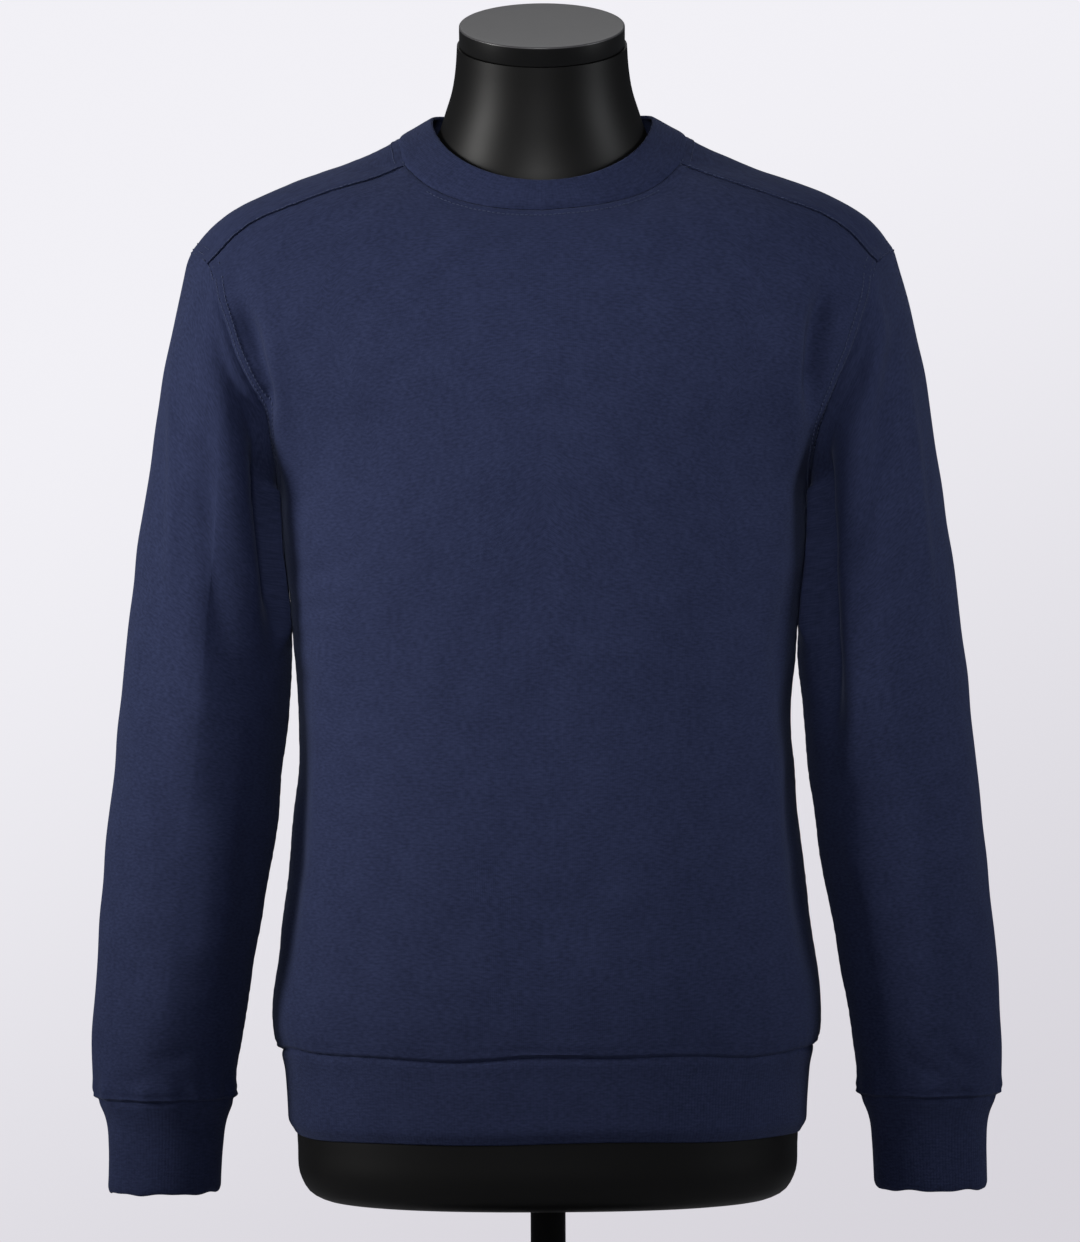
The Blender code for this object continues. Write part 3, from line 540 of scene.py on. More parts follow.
def clothPiece(name, points, closed, wall, seamGap, openGap, pattern):
    # a wall of cloth: the grid is its outer face and the inner one lies a wall's depth below,
    # thinner beside seams and rounded at an open edge
    normal = gridNormals(points, closed)
    depth = wall * (0.55 + 0.45 * softStep(seamGap / 5))[..., None]
    bend = np.clip(openGap / (wall * 0.6), 0, 1)
    lip = (1 - np.sqrt(np.clip(1 - (1 - bend) ** 2, 0, 1)))[..., None] * 0.46
    outer = points - normal * depth * lip
    inner = points - normal * depth * (1 - lip)
    rows, columns = points.shape[:2]
    number = np.arange(rows * columns).reshape(rows, columns)
    if closed:
        number = np.concatenate((number, number[:, :1]), axis=1)
    under = number + rows * columns
    uv = np.arange(pattern.shape[0] * pattern.shape[1]).reshape(pattern.shape[:2])
    strips = [(number, uv, False), (under, uv, True),
              (np.stack((under[0], number[0])), np.stack((uv[0], uv[0])), False),
              (np.stack((number[-1], under[-1])), np.stack((uv[-1], uv[-1])), False)]
    if not closed:
        last, first = np.stack((uv[:, -1], uv[:, -1])).T, np.stack((uv[:, 0], uv[:, 0])).T
        strips.append((np.stack((under[:, -1], number[:, -1])).T[:, ::-1], last, False))
        strips.append((np.stack((under[:, 0], number[:, 0])).T, first, False))
    faces = np.concatenate([gridFaces(place, turned) for place, flat, turned in strips])
    flats = np.concatenate([gridFaces(flat, turned) for place, flat, turned in strips])
    both = np.concatenate((outer.reshape(-1, 3), inner.reshape(-1, 3)))
    return buildMesh(name, both, faces.tolist(), pattern.reshape(-1, 2)[flats])


def patternOf(points, closed):
    # lengths along the middle row and up each column, so the knit keeps its size and direction
    middle = points[len(points) // 2]
    if closed:
        middle = np.concatenate((middle, middle[:1]))
        points = np.concatenate((points, points[:, :1]), axis=1)
    across = lineLengths(middle)
    steps = np.linalg.norm(np.diff(points, axis=0), axis=-1).mean(axis=1)
    up = np.concatenate(([0], np.cumsum(steps)))
    return np.stack(np.broadcast_arrays(across[None, :], up[:, None]), axis=-1)


def moved(points, height, closed=False):
    # a grid moved along its own normals
    return points + gridNormals(points, closed) * height[..., None]


cloth = {"fleeceWall": 2.0, "ribWall": 2.8, "gap": 0.04}


def pulledBack(points, rows=(), columns=()):
    # the named edge rows and columns moved a little into the piece
    points = points.copy()
    for row in rows:
        way = unit(points[1] - points[0]) if row == 0 else unit(points[-2] - points[-1])
        points[row] += way * cloth["gap"]
    for column in columns:
        way = points[:, 1] - points[:, 0] if column == 0 else points[:, -2] - points[:, -1]
        points[:, column] += unit(way) * cloth["gap"]
    return points


def makePanel(name, plan):
    # one panel: the worn body over its grid, with the relief of every seam that it meets
    grid = panelGrid(plan)
    points = wornBody(grid[..., 0], grid[..., 1])
    isBack = plan["middle"] > 0
    height = np.zeros(points.shape[:2])
    nearest = np.full(points.shape[:2], 1e6)
    lines = []
    for side in ("left", "right"):
        height = height + seamRelief(points, armholeSeams[side]) * tipFade(points)
        nearest = np.minimum(nearest, lineField(points, armholeSeams[side], 12)[0])
        lines.append((shoulderSeams[side], dict(puff=1.2, furrow=1.0, groove=-0.55) if isBack
                      else dict(puff=-0.4, furrow=0.0, groove=0.85)))
        lines.append((sideSeams[side], dict(puff=0.3, furrow=0.0, groove=0.7)))
    lines.append((neckSeam, dict(puff=0.2, furrow=0.5, groove=0.45)))
    for line, strength in lines:
        height = height + seamRelief(points, line, **strength)
        nearest = np.minimum(nearest, lineField(points, line, 12)[0])
    height = height + 0.45 * bell(lineField(points, neckSeam, 12)[0] - 1.9, 0.8)
    hemGap, run = lineField(points, hemSeam, 30)
    swell = 1 + 0.5 * np.sin(run * 0.035 + 1) + 0.25 * np.sin(run * 0.11)
    height = height + 1.1 * swell * bell(hemGap - 7, 4.5) + joinRelief(hemGap, 1.2)
    height = height + 0.28 * np.sin(run * 0.55 + 2 * np.sin(run * 0.07)) * bell(hemGap - 5, 6)
    nearest = np.minimum(nearest, hemGap)
    points = moved(points, height)
    points = pulledBack(points, rows=(0, -1), columns=(0, -1))
    return clothPiece(name, points, False, cloth["fleeceWall"], nearest,
                      np.full(points.shape[:2], 1e6), patternOf(points, False))


frontPanel = makePanel("frontPanel", panelPlans["front"])
backPanel = makePanel("backPanel", panelPlans["back"])
print("panels done")


sleeve = {
    "rings": np.array((
        # outerX, outerZ, innerX, innerZ, middleY, halfDepth
        (240, 909, 182, 750, 5, 69),
        (251, 868, 182.8, 728, 3, 72),
        (261.7, 815, 179.2, 700, 2, 73),
        (270, 766, 175.2, 668, 0, 72),
        (277.5, 711, 173.2, 636, -1, 70),
        (284, 657, 174.8, 603, -3, 68),
        (290, 602, 177.3, 568, -5, 66),
        (296, 547, 182.3, 530, -6, 63),
        (301.6, 492, 189.4, 485, -8, 60),
        (306, 437, 198.2, 434, -10, 56),
        (309, 388, 206.3, 387, -11, 52),
        (310, 350, 210.6, 350, -12, 45),
        (307, 331.5, 213, 331.5, -12, 40),
    ), dtype=float),
    "length": 578.0,
    "fadeRings": 4.0,
    "keen": 0.24,
    # folds as on the body; left is the wearer's left, at +X
    "folds": {
        "right": {
            "front": (
                (3.0, 5.5, (252, 840, 253, 771, 253, 700, 252, 640)),
                (-17, 8.5, (217, 850, 201, 800, 193, 745, 187, 690, 186, 640), 0.3),
                (-6.5, 9.5, (233, 810, 228, 750, 225, 699, 217, 643, 205, 577), 0.35),
                (4.0, 7, (215, 800, 209, 750, 203, 699, 196, 643)),
                (6.5, 13, (214, 560, 222, 500, 228, 440, 238, 376)),
                (1.8, 12, (280, 640, 276, 560, 270, 470)),
                (-2.2, 12, (250, 560, 245, 480, 250, 410)),
                (-1.8, 5, (236, 372, 252, 362, 272, 366)),
                (-1.5, 4, (262, 352, 280, 346, 294, 350)),
            ),
            "back": (
                (3.2, 12, (262, 850, 252, 760, 256, 660)),
                (-12, 7, (214, 840, 200, 790, 190, 740, 186, 700)),
                (-4.2, 11, (226, 820, 222, 740, 214, 650)),
                (-2.6, 9, (236, 640, 262, 600, 280, 580)),
                (3.0, 13, (226, 600, 240, 500, 250, 400)),
                (-1.8, 6, (250, 380, 270, 366, 290, 372)),
            ),
        },
        "left": {
            "front": (
                (-15, 9, (213, 850, 198, 800, 191, 745, 190, 690, 190, 620, 194, 560), 0.25),
                (3.4, 7, (206, 720, 209, 660, 212, 600, 212, 560)),
                (3.6, 7, (228, 876, 226, 822, 222, 790)),
                (-7, 8.5, (238, 860, 233, 810, 225, 760, 215, 710, 206, 660)),
                (3.0, 5.5, (248, 836, 252, 784, 256, 735, 259, 690, 259, 640)),
                (3.0, 7, (217, 800, 211, 750, 203, 699)),
                (3.2, 9, (224, 640, 215, 585, 203, 540)),
                (3.4, 9, (203, 536, 210, 498, 222, 456, 230, 420)),
                (-2.4, 11, (250, 600, 240, 540, 238, 500, 246, 450)),
                (1.8, 12, (282, 600, 284, 520, 282, 440)),
                (-2.2, 4.5, (238, 366, 252, 355, 272, 346)),
                (-1.8, 4.5, (262, 368, 278, 358, 292, 352)),
                (1.6, 6, (246, 392, 262, 384, 284, 388)),
            ),
            "back": (
                (3.0, 12, (260, 850, 254, 770, 260, 670)),
                (-12, 7, (214, 840, 200, 790, 190, 740, 186, 700)),
                (-4.0, 11, (228, 830, 220, 740, 212, 660)),
                (-2.6, 9, (232, 660, 256, 610, 280, 590)),
                (3.0, 13, (222, 590, 236, 500, 248, 410)),
                (-1.8, 6, (246, 376, 268, 362, 288, 368)),
            ),
        },
    },
}
cuff = {
    "rings": np.array((
        # outerX, outerZ, innerX, innerZ, middleY, halfDepth
        (307, 331.5, 213, 331.5, -12, 40),
        (303.5, 324, 216.3, 324, -12, 36.5),
        (301.3, 317, 218.7, 317, -12, 34.3),
        (299.5, 299, 221.3, 299, -12, 31.7),
        (299.6, 283, 222.4, 283, -12, 30.6),
        (300.3, 268, 223, 268, -12, 30),
    ), dtype=float),
}
armTurn = np.linspace(0, 360, 181)[:-1]
# each arm is worked out at +X; the right one is then turned over, with its columns the other way
armSides = {"left": (1, np.array((1, 1, 1)), slice(None)),
            "right": (-1, np.array((-1, 1, 1)), slice(None, None, -1))}


def keenPower(at):
    # 1 at the cuff, where a ring is an ellipse, and more from three rings above it
    return 1 + sleeve["keen"] * softStep((len(sleeve["rings"]) - 1 - at) / 3)


def ringPoints(ring, turn, power=1.0):
    # a ring is its middle, plus half its width by the cosine and half its depth by the sine, each
    # to a power that makes the front and back keener
    ring = ring[:, None, :]
    cosine = -np.cos(np.radians(turn))[None]
    sine = np.sin(np.radians(turn))[None]
    cosine = np.sign(cosine) * np.abs(cosine) ** power
    sine = np.sign(sine) * np.abs(sine) ** power
    x = (ring[..., 0] + ring[..., 2]) / 2 + (ring[..., 0] - ring[..., 2]) / 2 * cosine
    z = (ring[..., 1] + ring[..., 3]) / 2 + (ring[..., 1] - ring[..., 3]) / 2 * cosine
    return np.stack((x, ring[..., 4] - ring[..., 5] * sine, z), axis=-1)


def placeOnSleeve(face, x, z):
    # a fold's points: the level ring at each height solved for y
    rings = sleeve["rings"]
    outer = np.interp(-z, -rings[:, 1], rings[:, 0])
    inner = np.interp(-z, -rings[:, 3], rings[:, 2])
    middleY = np.interp(-z, -rings[:, 1], rings[:, 4])
    depth = np.interp(-z, -rings[:, 1], rings[:, 5])
    share = np.clip((x - (outer + inner) / 2) / ((outer - inner) / 2), -0.98, 0.98)
    power = keenPower(np.interp(-z, -rings[:, 1], np.arange(len(rings))))
    deep = depth * (1 - np.abs(share) ** (2 / power)) ** (power / 2)
    return np.stack((x, middleY - deep if face == "front" else middleY + deep, z), axis=-1)


touch = {"clear": 0.9, "low": 632.0, "high": 752.0, "front": -44.0, "back": 34.0, "reach": 16.0,
         "tableStep": 2.0, "lowRamp": 24, "highRamp": 8, "frontRamp": 16, "backRamp": 22,
         "reachRamp": 8}


def closeToBody(points, sign, fromSeam):
    # below the armpit the sleeve's inner side leans on the body: its x moves towards the worn
    # body's x at the same y and z, in full where the two are near and not at all far off
    tableZ = np.arange(560.0, 781.0, touch["tableStep"])
    tableY = np.arange(-80.0, 81.0, 1.0)
    angle = np.radians(np.linspace(45, 135, 91))
    side = wornBody((sign * angle)[None, :], tableZ[:, None])
    table = np.stack([np.interp(tableY, row[:, 1], row[:, 0] * sign) for row in side])
    z, y = points[..., 2], points[..., 1]
    row = np.clip((z - tableZ[0]) / touch["tableStep"], 0, len(tableZ) - 1.001)
    column = np.clip(y - tableY[0], 0, len(tableY) - 1.001)
    i, j = row.astype(int), column.astype(int)
    u, v = row - i, column - j
    bodyX = ((table[i, j] * (1 - u) + table[i + 1, j] * u) * (1 - v)
             + (table[i, j + 1] * (1 - u) + table[i + 1, j + 1] * u) * v)
    gap = points[..., 0] - bodyX - touch["clear"]
    below = softStep((touch["high"] - z) / touch["highRamp"])
    share = softStep((z - touch["low"]) / touch["lowRamp"]) * below
    share = share * softStep((y - touch["front"]) / touch["frontRamp"])
    share = share * softStep((touch["back"] - y) / touch["backRamp"])
    share = share * softStep((touch["reach"] - gap) / touch["reachRamp"])
    push = np.where(z > tableZ[0], np.maximum(-gap, 0) * below, 0)
    points = points.copy()
    points[..., 0] += (push - np.maximum(gap, 0) * share) * softStep((fromSeam - 1.5) / 7)
    return points


def cuffGather(sign):
    # small folds round the wrist where the sleeve is gathered into its cuff
    girth = np.radians(armTurn)[None]
    return 0.6 * np.sin(9 * girth + 1.2 * np.sin(2 * girth) + sign) + 0.35 * np.sin(17 * girth + 2)


def makeSleeve(side):
    # rings from the armhole down, drawn to the armhole's line at the top; also gives the seam ring
    sign, flip, order = armSides[side]
    count = len(sleeve["rings"]) - 1
    at = gradedSteps(sleeve["length"], 3.5, 0.8, 0.7) / sleeve["length"] * count
    ring = smoothCurve(at, np.arange(count + 1.0), sleeve["rings"])
    rings = ringPoints(ring, armTurn, keenPower(at)[:, None])
    line = armholeLine(armTurn)
    armhole = wornBody(line[:, 0] * sign, line[:, 1]) * flip
    fade = np.clip(1 - at / sleeve["fadeRings"], 0, 1)[:, None, None] ** 2
    points = (rings + (armhole - rings[0])[None] * fade)[::-1]
    fromCuff = lineLengths(points[:, len(armTurn) // 2])[:, None]
    fromArmhole = fromCuff[-1] - fromCuff
    height = foldHeight(points, sleeve["folds"][side], placeOnSleeve) + ripple(points * flip)
    seam = armholeSeams[side] * flip
    fromSeam = np.minimum(lineField(points, seam, 30)[0], 30)
    height = height * softStep(fromSeam / 11) * (0.25 + 0.75 * softStep(fromCuff / 14))
    points = closeToBody(moved(points, height, True), sign, fromSeam)
    relief = seamRelief(points, seam, puff=0.4, furrow=0.0) * tipFade(points)
    under = seamRelief(points, evenLine(points[:, 0], 4), puff=0.3, furrow=0, groove=0.6)
    gather = cuffGather(sign)
    relief = relief + under * softStep(fromArmhole / 12) + joinRelief(fromCuff, 1.3)
    relief = relief + bell(fromCuff - 6, 4.5) * (1.5 + gather)
    relief = relief + 0.5 * gather * bell(fromCuff - 14, 9)
    seamNormal = wornNormal(line[:, 0] * sign, line[:, 1]) * flip
    own = softStep(fromSeam / 5)[..., None]
    normal = unit(gridNormals(points, True) * own + seamNormal[None] * (1 - own))
    points = points + normal * relief[..., None]
    nearest = np.minimum(fromCuff, fromArmhole) + 0 * points[..., 0]
    pulled = (pulledBack(points, rows=(0, -1)) * flip)[:, order]
    name = "sleeveLeft" if side == "left" else "sleeveRight"
    return clothPiece(name, pulled, True, cloth["fleeceWall"], nearest[:, order],
                      np.full(nearest.shape, 1e6), patternOf(pulled, True)), points[0]


def makeCuff(side, seamRing):
    # level rings below the sleeve, the top one drawn to its seam ring, rounded in at the foot
    sign, flip, order = armSides[side]
    knots = cuff["rings"][0, 1] - cuff["rings"][:, 1]
    down = gradedSteps(knots[-1], 2.6, 0.6, 0.25)
    level = ringPoints(smoothCurve(down, knots, cuff["rings"]), armTurn)
    level = level + (seamRing - level[0])[None] * bell(down, 3.0)[:, None, None]
    girth = np.radians(armTurn)[None]
    wave = 0.5 * np.sin(6 * girth + sign) + 0.3 * np.sin(11 * girth + 2)
    level[..., 2] += wave * softStep(down / knots[-1])[:, None]
    level = level[::-1]
    fromSeam = down[::-1][:, None] + 0 * level[..., 0]
    fromEdge = knots[-1] - fromSeam
    bulge = 0.5 * bell(fromSeam - 4, 3) + ripple(level * flip) * 0.5
    bulge = bulge - 1.2 * softStep(1 - fromEdge / 6) ** 1.6
    level = pulledBack(moved(level, bulge * softStep(fromSeam / 2), True), rows=(-1,))
    level = (level * flip)[:, order]
    name = "cuffLeft" if side == "left" else "cuffRight"
    return clothPiece(name, level, True, cloth["ribWall"], fromSeam[:, order], fromEdge[:, order],
                      patternOf(level, True))


arms = {}
for side in armSides:
    tube, seamRing = makeSleeve(side)
    arms[side] = (tube, makeCuff(side, seamRing))
print("sleeves and cuffs done")


def makeHemRib():
    # the worn body below the hem seam, pulled in under the panels and rounded at its foot
    depth = body["hemSeam"] - body["hemBottom"]
    down = gradedSteps(depth, 2.8, 0.6, 0.25)[::-1]
    turn = np.linspace(0, 2 * np.pi, 361)[:-1]
    points = wornBody(turn[None, :], (body["hemSeam"] - down)[:, None])
    fromSeam = down[:, None] + 0 * points[..., 0]
    fromEdge = depth - fromSeam
    wave = 0.9 * np.sin(3 * turn + 1) + 0.5 * np.sin(7 * turn)
    points[..., 2] += wave[None] * softStep(fromSeam / depth)
    height = -1.5 * bell(fromSeam, 1.4) + 0.4 * bell(fromSeam - 6, 3.5)
    height = height - 4.0 * softStep(1 - fromEdge / 11) ** 1.6
    points = moved(points, height, True)
    points = pulledBack(points, rows=(-1,))
    return clothPiece("hemRib", points, True, cloth["ribWall"], fromSeam, fromEdge,
                      patternOf(points, True))


neck = {"rimHalfWidth": 75.5, "rimFront": 78.0, "rimBack": 45.0, "rimSideY": 3.0,
        "rimHeight": 1006.0, "rimDip": 53.0, "rimSoftness": 0.25, "swell": 1.2, "width": 30.0}


def makeNeckRib():
    # straight lines from the neckline seam up to the rim, swollen a little between them
    line = neckLine(0, 180, np.linspace(0, 1, 131))
    halfLine = bodyBase(line[:, 0], line[:, 1])
    runY = halfLine[:, 1] - neck["rimSideY"]
    reach = np.where(runY < 0, -runY / -halfLine[0, 1], -runY / halfLine[-1, 1])
    turn = np.arctan2(halfLine[:, 0] / halfLine[:, 0].max(), reach)
    turn[0], turn[-1] = 0, np.pi
    turn = np.concatenate((turn, -turn[-2:0:-1]))
    line = np.concatenate((line, (line * np.array((-1, 1)))[-2:0:-1]))
    seam = wornBody(line[:, 0], line[:, 1])
    cosine = np.cos(turn)
    dip = (cosine + np.sqrt(cosine ** 2 + neck["rimSoftness"] ** 2)) / 2
    rimX = neck["rimHalfWidth"] * np.sin(turn)
    rimY = neck["rimSideY"] - np.where(cosine > 0, neck["rimFront"], neck["rimBack"]) * cosine
    rim = np.stack((rimX, rimY, neck["rimHeight"] - neck["rimDip"] * dip), axis=-1)
    share = gradedSteps(neck["width"], 1.8, 0.5, 0.2)[:, None, None] / neck["width"]
    band = seam[None] * (1 - share) + rim[None] * share
    outward = unit(seam * np.array((1, 1, 0)))
    points = band + outward[None] * neck["swell"] * 4 * share * (1 - share)
    widths = np.linalg.norm(rim - seam, axis=-1)[None]
    fromSeam = share[..., 0] * widths
    fromEdge = widths - fromSeam
    height = -0.7 * bell(fromSeam, 1.2) + 0.4 * bell(fromSeam - 5, 3.5)
    points = moved(points, height + 0.4, True)
    points = pulledBack(points, rows=(0,))
    return clothPiece("neckRib", points, True, cloth["ribWall"], fromSeam, fromEdge,
                      patternOf(points, True))


hemRib = makeHemRib()
neckRib = makeNeckRib()
print("ribs done")


thread = {"length": 2.5, "pitch": 3.0, "radius": 0.42, "sides": 6, "lift": 0.2}


def makeStitches(name, rows):
    # short threads laid on the cloth: each row is a seam line, the piece it lies on, how far
    # from the seam, and which way across
    anchors, normals, ways = [], [], []
    for line, piece, offset, side in rows:
        tree = BVHTree.FromObject(piece, bpy.context.evaluated_depsgraph_get())
        even = evenLine(line, thread["pitch"])
        way = unit(np.gradient(even, axis=0))
        for spot, run in zip(even, way):
            onCloth = tree.find_nearest(Vector(spot * mm))
            across = np.cross(np.array(onCloth[1]), run) * side
            place = tree.find_nearest(Vector((spot + across * offset) * mm))
            if place[0] is None:
                continue
            anchors.append(np.array(place[0]) / mm)
            normals.append(np.array(place[1]))
            ways.append(run)
    anchors, normals, ways = np.array(anchors), unit(np.array(normals)), np.array(ways)
    ways = unit(ways - normals * np.sum(ways * normals, axis=-1, keepdims=True))
    across = np.cross(normals, ways)
    along = np.array((-0.5, -0.38, -0.13, 0.13, 0.38, 0.5)) * thread["length"]
    thick = np.array((0.15, 0.8, 1.0, 1.0, 0.8, 0.15)) * thread["radius"]
    sink = np.array((-0.28, -0.05, 0.04, 0.04, -0.05, -0.28))
    turn = np.linspace(0, 2 * np.pi, thread["sides"] + 1)[:-1]
    ring = thick[:, None] * np.cos(turn)[None], thick[:, None] * np.sin(turn)[None]
    rise = ring[1] * 0.8 + sink[:, None] + thread["lift"]
    points = (anchors[:, None, None] + ways[:, None, None] * along[None, :, None, None]
              + across[:, None, None] * ring[0][None, ..., None]
              + normals[:, None, None] * rise[None, ..., None])
    rings, sides = len(along), thread["sides"]
    number = np.arange(rings * sides).reshape(rings, sides)
    number = np.concatenate((number, number[:, :1]), axis=1)
    faces = gridFaces(number, True)
    caps = np.array(((0, 1, 2, 3), (0, 3, 4, 5)))
    faces = np.concatenate((faces, caps[:, ::-1] + 0, caps + (rings - 1) * sides))
    faces = (faces[None] + (np.arange(len(anchors)) * rings * sides)[:, None, None]).reshape(-1, 4)
    return buildMesh(name, points.reshape(-1, 3), faces.tolist(), sharp=80)


stitchRows = []
for side in ("left", "right"):
    line = armholeSeams[side]
    way = 1 if side == "left" else -1
    tip = int(round(body["shoulderTurn"] / 360 * (len(line) - 1)))
    for offset in (2.6, 7.6):
        stitchRows.append((line[4:tip - 1], frontPanel, offset, way))
        stitchRows.append((line[tip + 2:-4], backPanel, offset, way))
        stitchRows.append((shoulderSeams[side][3:-3], backPanel, offset, way))
neckFront = neckSeam[np.r_[-34:0, 0:35]]
neckBack = neckSeam[38:-37]
stitchRows.append((neckFront, frontPanel, 5.6, -1))
stitchRows.append((neckBack, backPanel, 5.6, -1))
print("stitch rows:", len(stitchRows))
seamStitches = makeStitches("seamStitches", stitchRows)
print("stitching done")


form = {
    "levels": np.array((
        # z, middleY, lean, halfWidth, front, back, square
        (261, 2, 0, 143, 92, 88, 2.35),
        (263, 2, 0, 154, 102, 98, 2.35),
        (268, 2, 0, 163, 109, 105, 2.35),
        (278, 2, 0, 169, 113.5, 109, 2.30),
        (300, 2, 0, 171, 115, 110, 2.30),
        (366, 2, 0, 170, 115, 109, 2.30),
        (450, 4, 0, 161, 112, 100, 2.30),
        (540, 4, 0, 151, 107, 90, 2.30),
        (610, 4, 0, 148, 105, 86, 2.30),
        (690, 5, 0, 156, 113, 92, 2.30),
        (760, 5, 0, 166, 122, 99, 2.25),
        (812, 5, 0, 176, 121, 101, 2.20),
        (853, 5, 0, 189, 114, 98, 2.15),
        (880, 5, 0, 203, 106, 93, 2.10),
        (900, 5, 1, 214, 97, 87, 2.05),
        (914, 5, 2, 214, 89, 82, 2.00),
        (926, 5, 4, 205, 83, 76, 1.95),
        (936, 5, 7, 189, 79, 71, 1.90),
        (946, 4, 11, 163, 77, 66, 1.85),
        (956, 2, 15.5, 128, 75, 60, 1.80),
        (966, 0, 20, 101, 72, 56, 1.90),
        (976, -3, 25, 81, 69, 53, 1.95),
        (988, -6, 27, 71.5, 65, 50, 2.00),
        (1002, -9, 27, 66.5, 62, 50, 2.00),
        (1018, -12, 24, 61.5, 59.5, 52, 2.00),
        (1034, -15.5, 23, 59, 58, 55, 2.00),
        (1048.5, -19, 22, 58, 57, 57, 2.00),
    ), dtype=float),
    "sides": 160,
}
stand = {"poleRadius": 12.0, "poleTop": 260.7, "poleFoot": 9.3, "baseRadius": 150.0,
         "baseHeight": 9.0, "capRadius": 56.5, "capHeight": 14.0, "capLean": 22.0, "neckY": -19.0,
         "neckZ": 1048.5, "rimBelow": (1.25, 0.95), "sides": 128}


def closedRings(name, rings, sharp=50):
    # rings one above the other, anticlockwise, each end closed by a fan of faces to its middle
    count, sides = rings.shape[:2]
    number = np.arange(count * sides).reshape(count, sides)
    number = np.concatenate((number, number[:, :1]), axis=1)
    faces = gridFaces(number).tolist()
    foot, head = count * sides, count * sides + 1
    faces += [(foot, int(b), int(a)) for a, b in zip(number[0, :-1], number[0, 1:])]
    faces += [(head, int(a), int(b)) for a, b in zip(number[-1, :-1], number[-1, 1:])]
    points = np.concatenate((rings.reshape(-1, 3), rings[:1].mean(axis=1), rings[-1:].mean(axis=1)))
    return buildMesh(name, points, faces, sharp=sharp)


def makeTorso():
    # superellipse rings that lean forward up the neck
    levels = form["levels"]
    runs = lineLengths(np.stack((levels[:, 0], levels[:, 3]), axis=-1))
    at = gradedSteps(runs[-1], 4.5, 0.8, 2.0)
    z, middleY, lean, halfWidth, front, back, square = smoothCurve(at, runs, levels).T[:, :, None]
    turn = np.linspace(0, 2 * np.pi, form["sides"], endpoint=False)[None]
    sine, cosine = np.sin(turn), np.cos(turn)
    reach = (np.abs(sine) ** square + np.abs(cosine) ** square) ** (-1 / square)
    depth = np.where(cosine > 0, front, back) * reach * cosine
    x = halfWidth * reach * sine
    y = middleY - depth * np.cos(np.radians(lean))
    height = z - depth * np.sin(np.radians(lean))
    return closedRings("formTorso", np.stack((x, y, height), axis=-1))


def roundRings(profile):
    # a profile of radius and height turned about the upright line
    turn = np.linspace(0, 2 * np.pi, stand["sides"], endpoint=False)[None]
    radius, height = np.array(profile, dtype=float).T[:, :, None]
    return np.stack((radius * np.sin(turn), -radius * np.cos(turn), height + 0 * turn), axis=-1)


def roundedEdge(radius, height, edge, up):
    # a quarter circle of points at a disc's rim, its lower or upper one
    bend = np.radians(np.linspace(0, 90, 7))
    way = 1 if up else -1
    points = [(radius - edge + edge * np.cos(a), height - way * edge + way * edge * np.sin(a))
              for a in bend]
    return points if up else points[::-1]


def makeCap():
    # a thick disc with soft rims, leaning with the neck
    radius, height = stand["capRadius"], stand["capHeight"]
    profile = [(4, 0.3)] + roundedEdge(radius, 0.3, 0.6, False)
    profile += roundedEdge(radius, height, 1.1, True)
    profile += [(radius - 3, height + 0.02), (radius * 0.6, height + 0.06), (4, height + 0.08)]
    rings = roundRings(profile)
    lean = np.radians(stand["capLean"])
    y = rings[..., 1] * np.cos(lean) - rings[..., 2] * np.sin(lean) + stand["neckY"]
    z = rings[..., 1] * np.sin(lean) + rings[..., 2] * np.cos(lean) + stand["neckZ"]
    return closedRings("neckCap", np.stack((rings[..., 0], y, z), axis=-1), 60)


def makeStand():
    # the pole, a plain cylinder, and the round base
    radius = stand["poleRadius"]
    pole = [(radius, stand["poleFoot"]), (radius, 60), (radius, 150), (radius, stand["poleTop"])]
    base = [(10, 0), (stand["baseRadius"] - 1, 0), (stand["baseRadius"], 1)]
    base += roundedEdge(stand["baseRadius"], stand["baseHeight"], 3, True)
    base += [(10, stand["baseHeight"])]
    return closedRings("formPole", roundRings(pole)), closedRings("formBase", roundRings(base))


formTorso = makeTorso()
neckCap = makeCap()
formPole, formBase = makeStand()
print("form done")


def feed(tree, value, socket):
    # a socket is given a value, or linked to another node's socket
    if isinstance(value, bpy.types.NodeSocket):
        tree.links.new(value, socket)
    else:
        socket.default_value = value


def addNode(tree, kind, inputs=(), **settings):
    # one node with its settings, and what feeds its inputs, by name or number
    node = tree.nodes.new("ShaderNode" + kind)
    for name, value in settings.items():
        setattr(node, name, value)
    for socket, value in dict(inputs).items():
        feed(tree, value, node.inputs[socket])
    return node


def math(tree, operation, *values):
    # one Math node's result
    return addNode(tree, "Math", enumerate(values), operation=operation).outputs[0]


def noise(tree, vector, scale, detail):
    # one noise texture's value
    texture = addNode(tree, "TexNoise", {"Vector": vector, "Scale": scale, "Detail": detail})
    return texture.outputs[0]


def between(tree, factor, first, second):
    # a colour mixed from two
    return addNode(tree, "Mix", {"Factor": factor, "A": first, "B": second},
                   data_type="RGBA").outputs["Result"]


def newGroup(name, inputs, outputs):
    # an empty shader group, with the sockets inside it that give and take its values
    group = bpy.data.node_groups.new(name, "ShaderNodeTree")
    for way, sockets in (("INPUT", inputs), ("OUTPUT", outputs)):
        for socket, value in sockets.items():
            kind = "NodeSocketVector" if socket == "Vector" else "NodeSocketFloat"
            made = group.interface.new_socket(socket, in_out=way, socket_type=kind)
            if value is not None:
                made.default_value = value
    given, made = [group.nodes.new("NodeGroup" + way) for way in ("Input", "Output")]
    return group, given.outputs, made.inputs


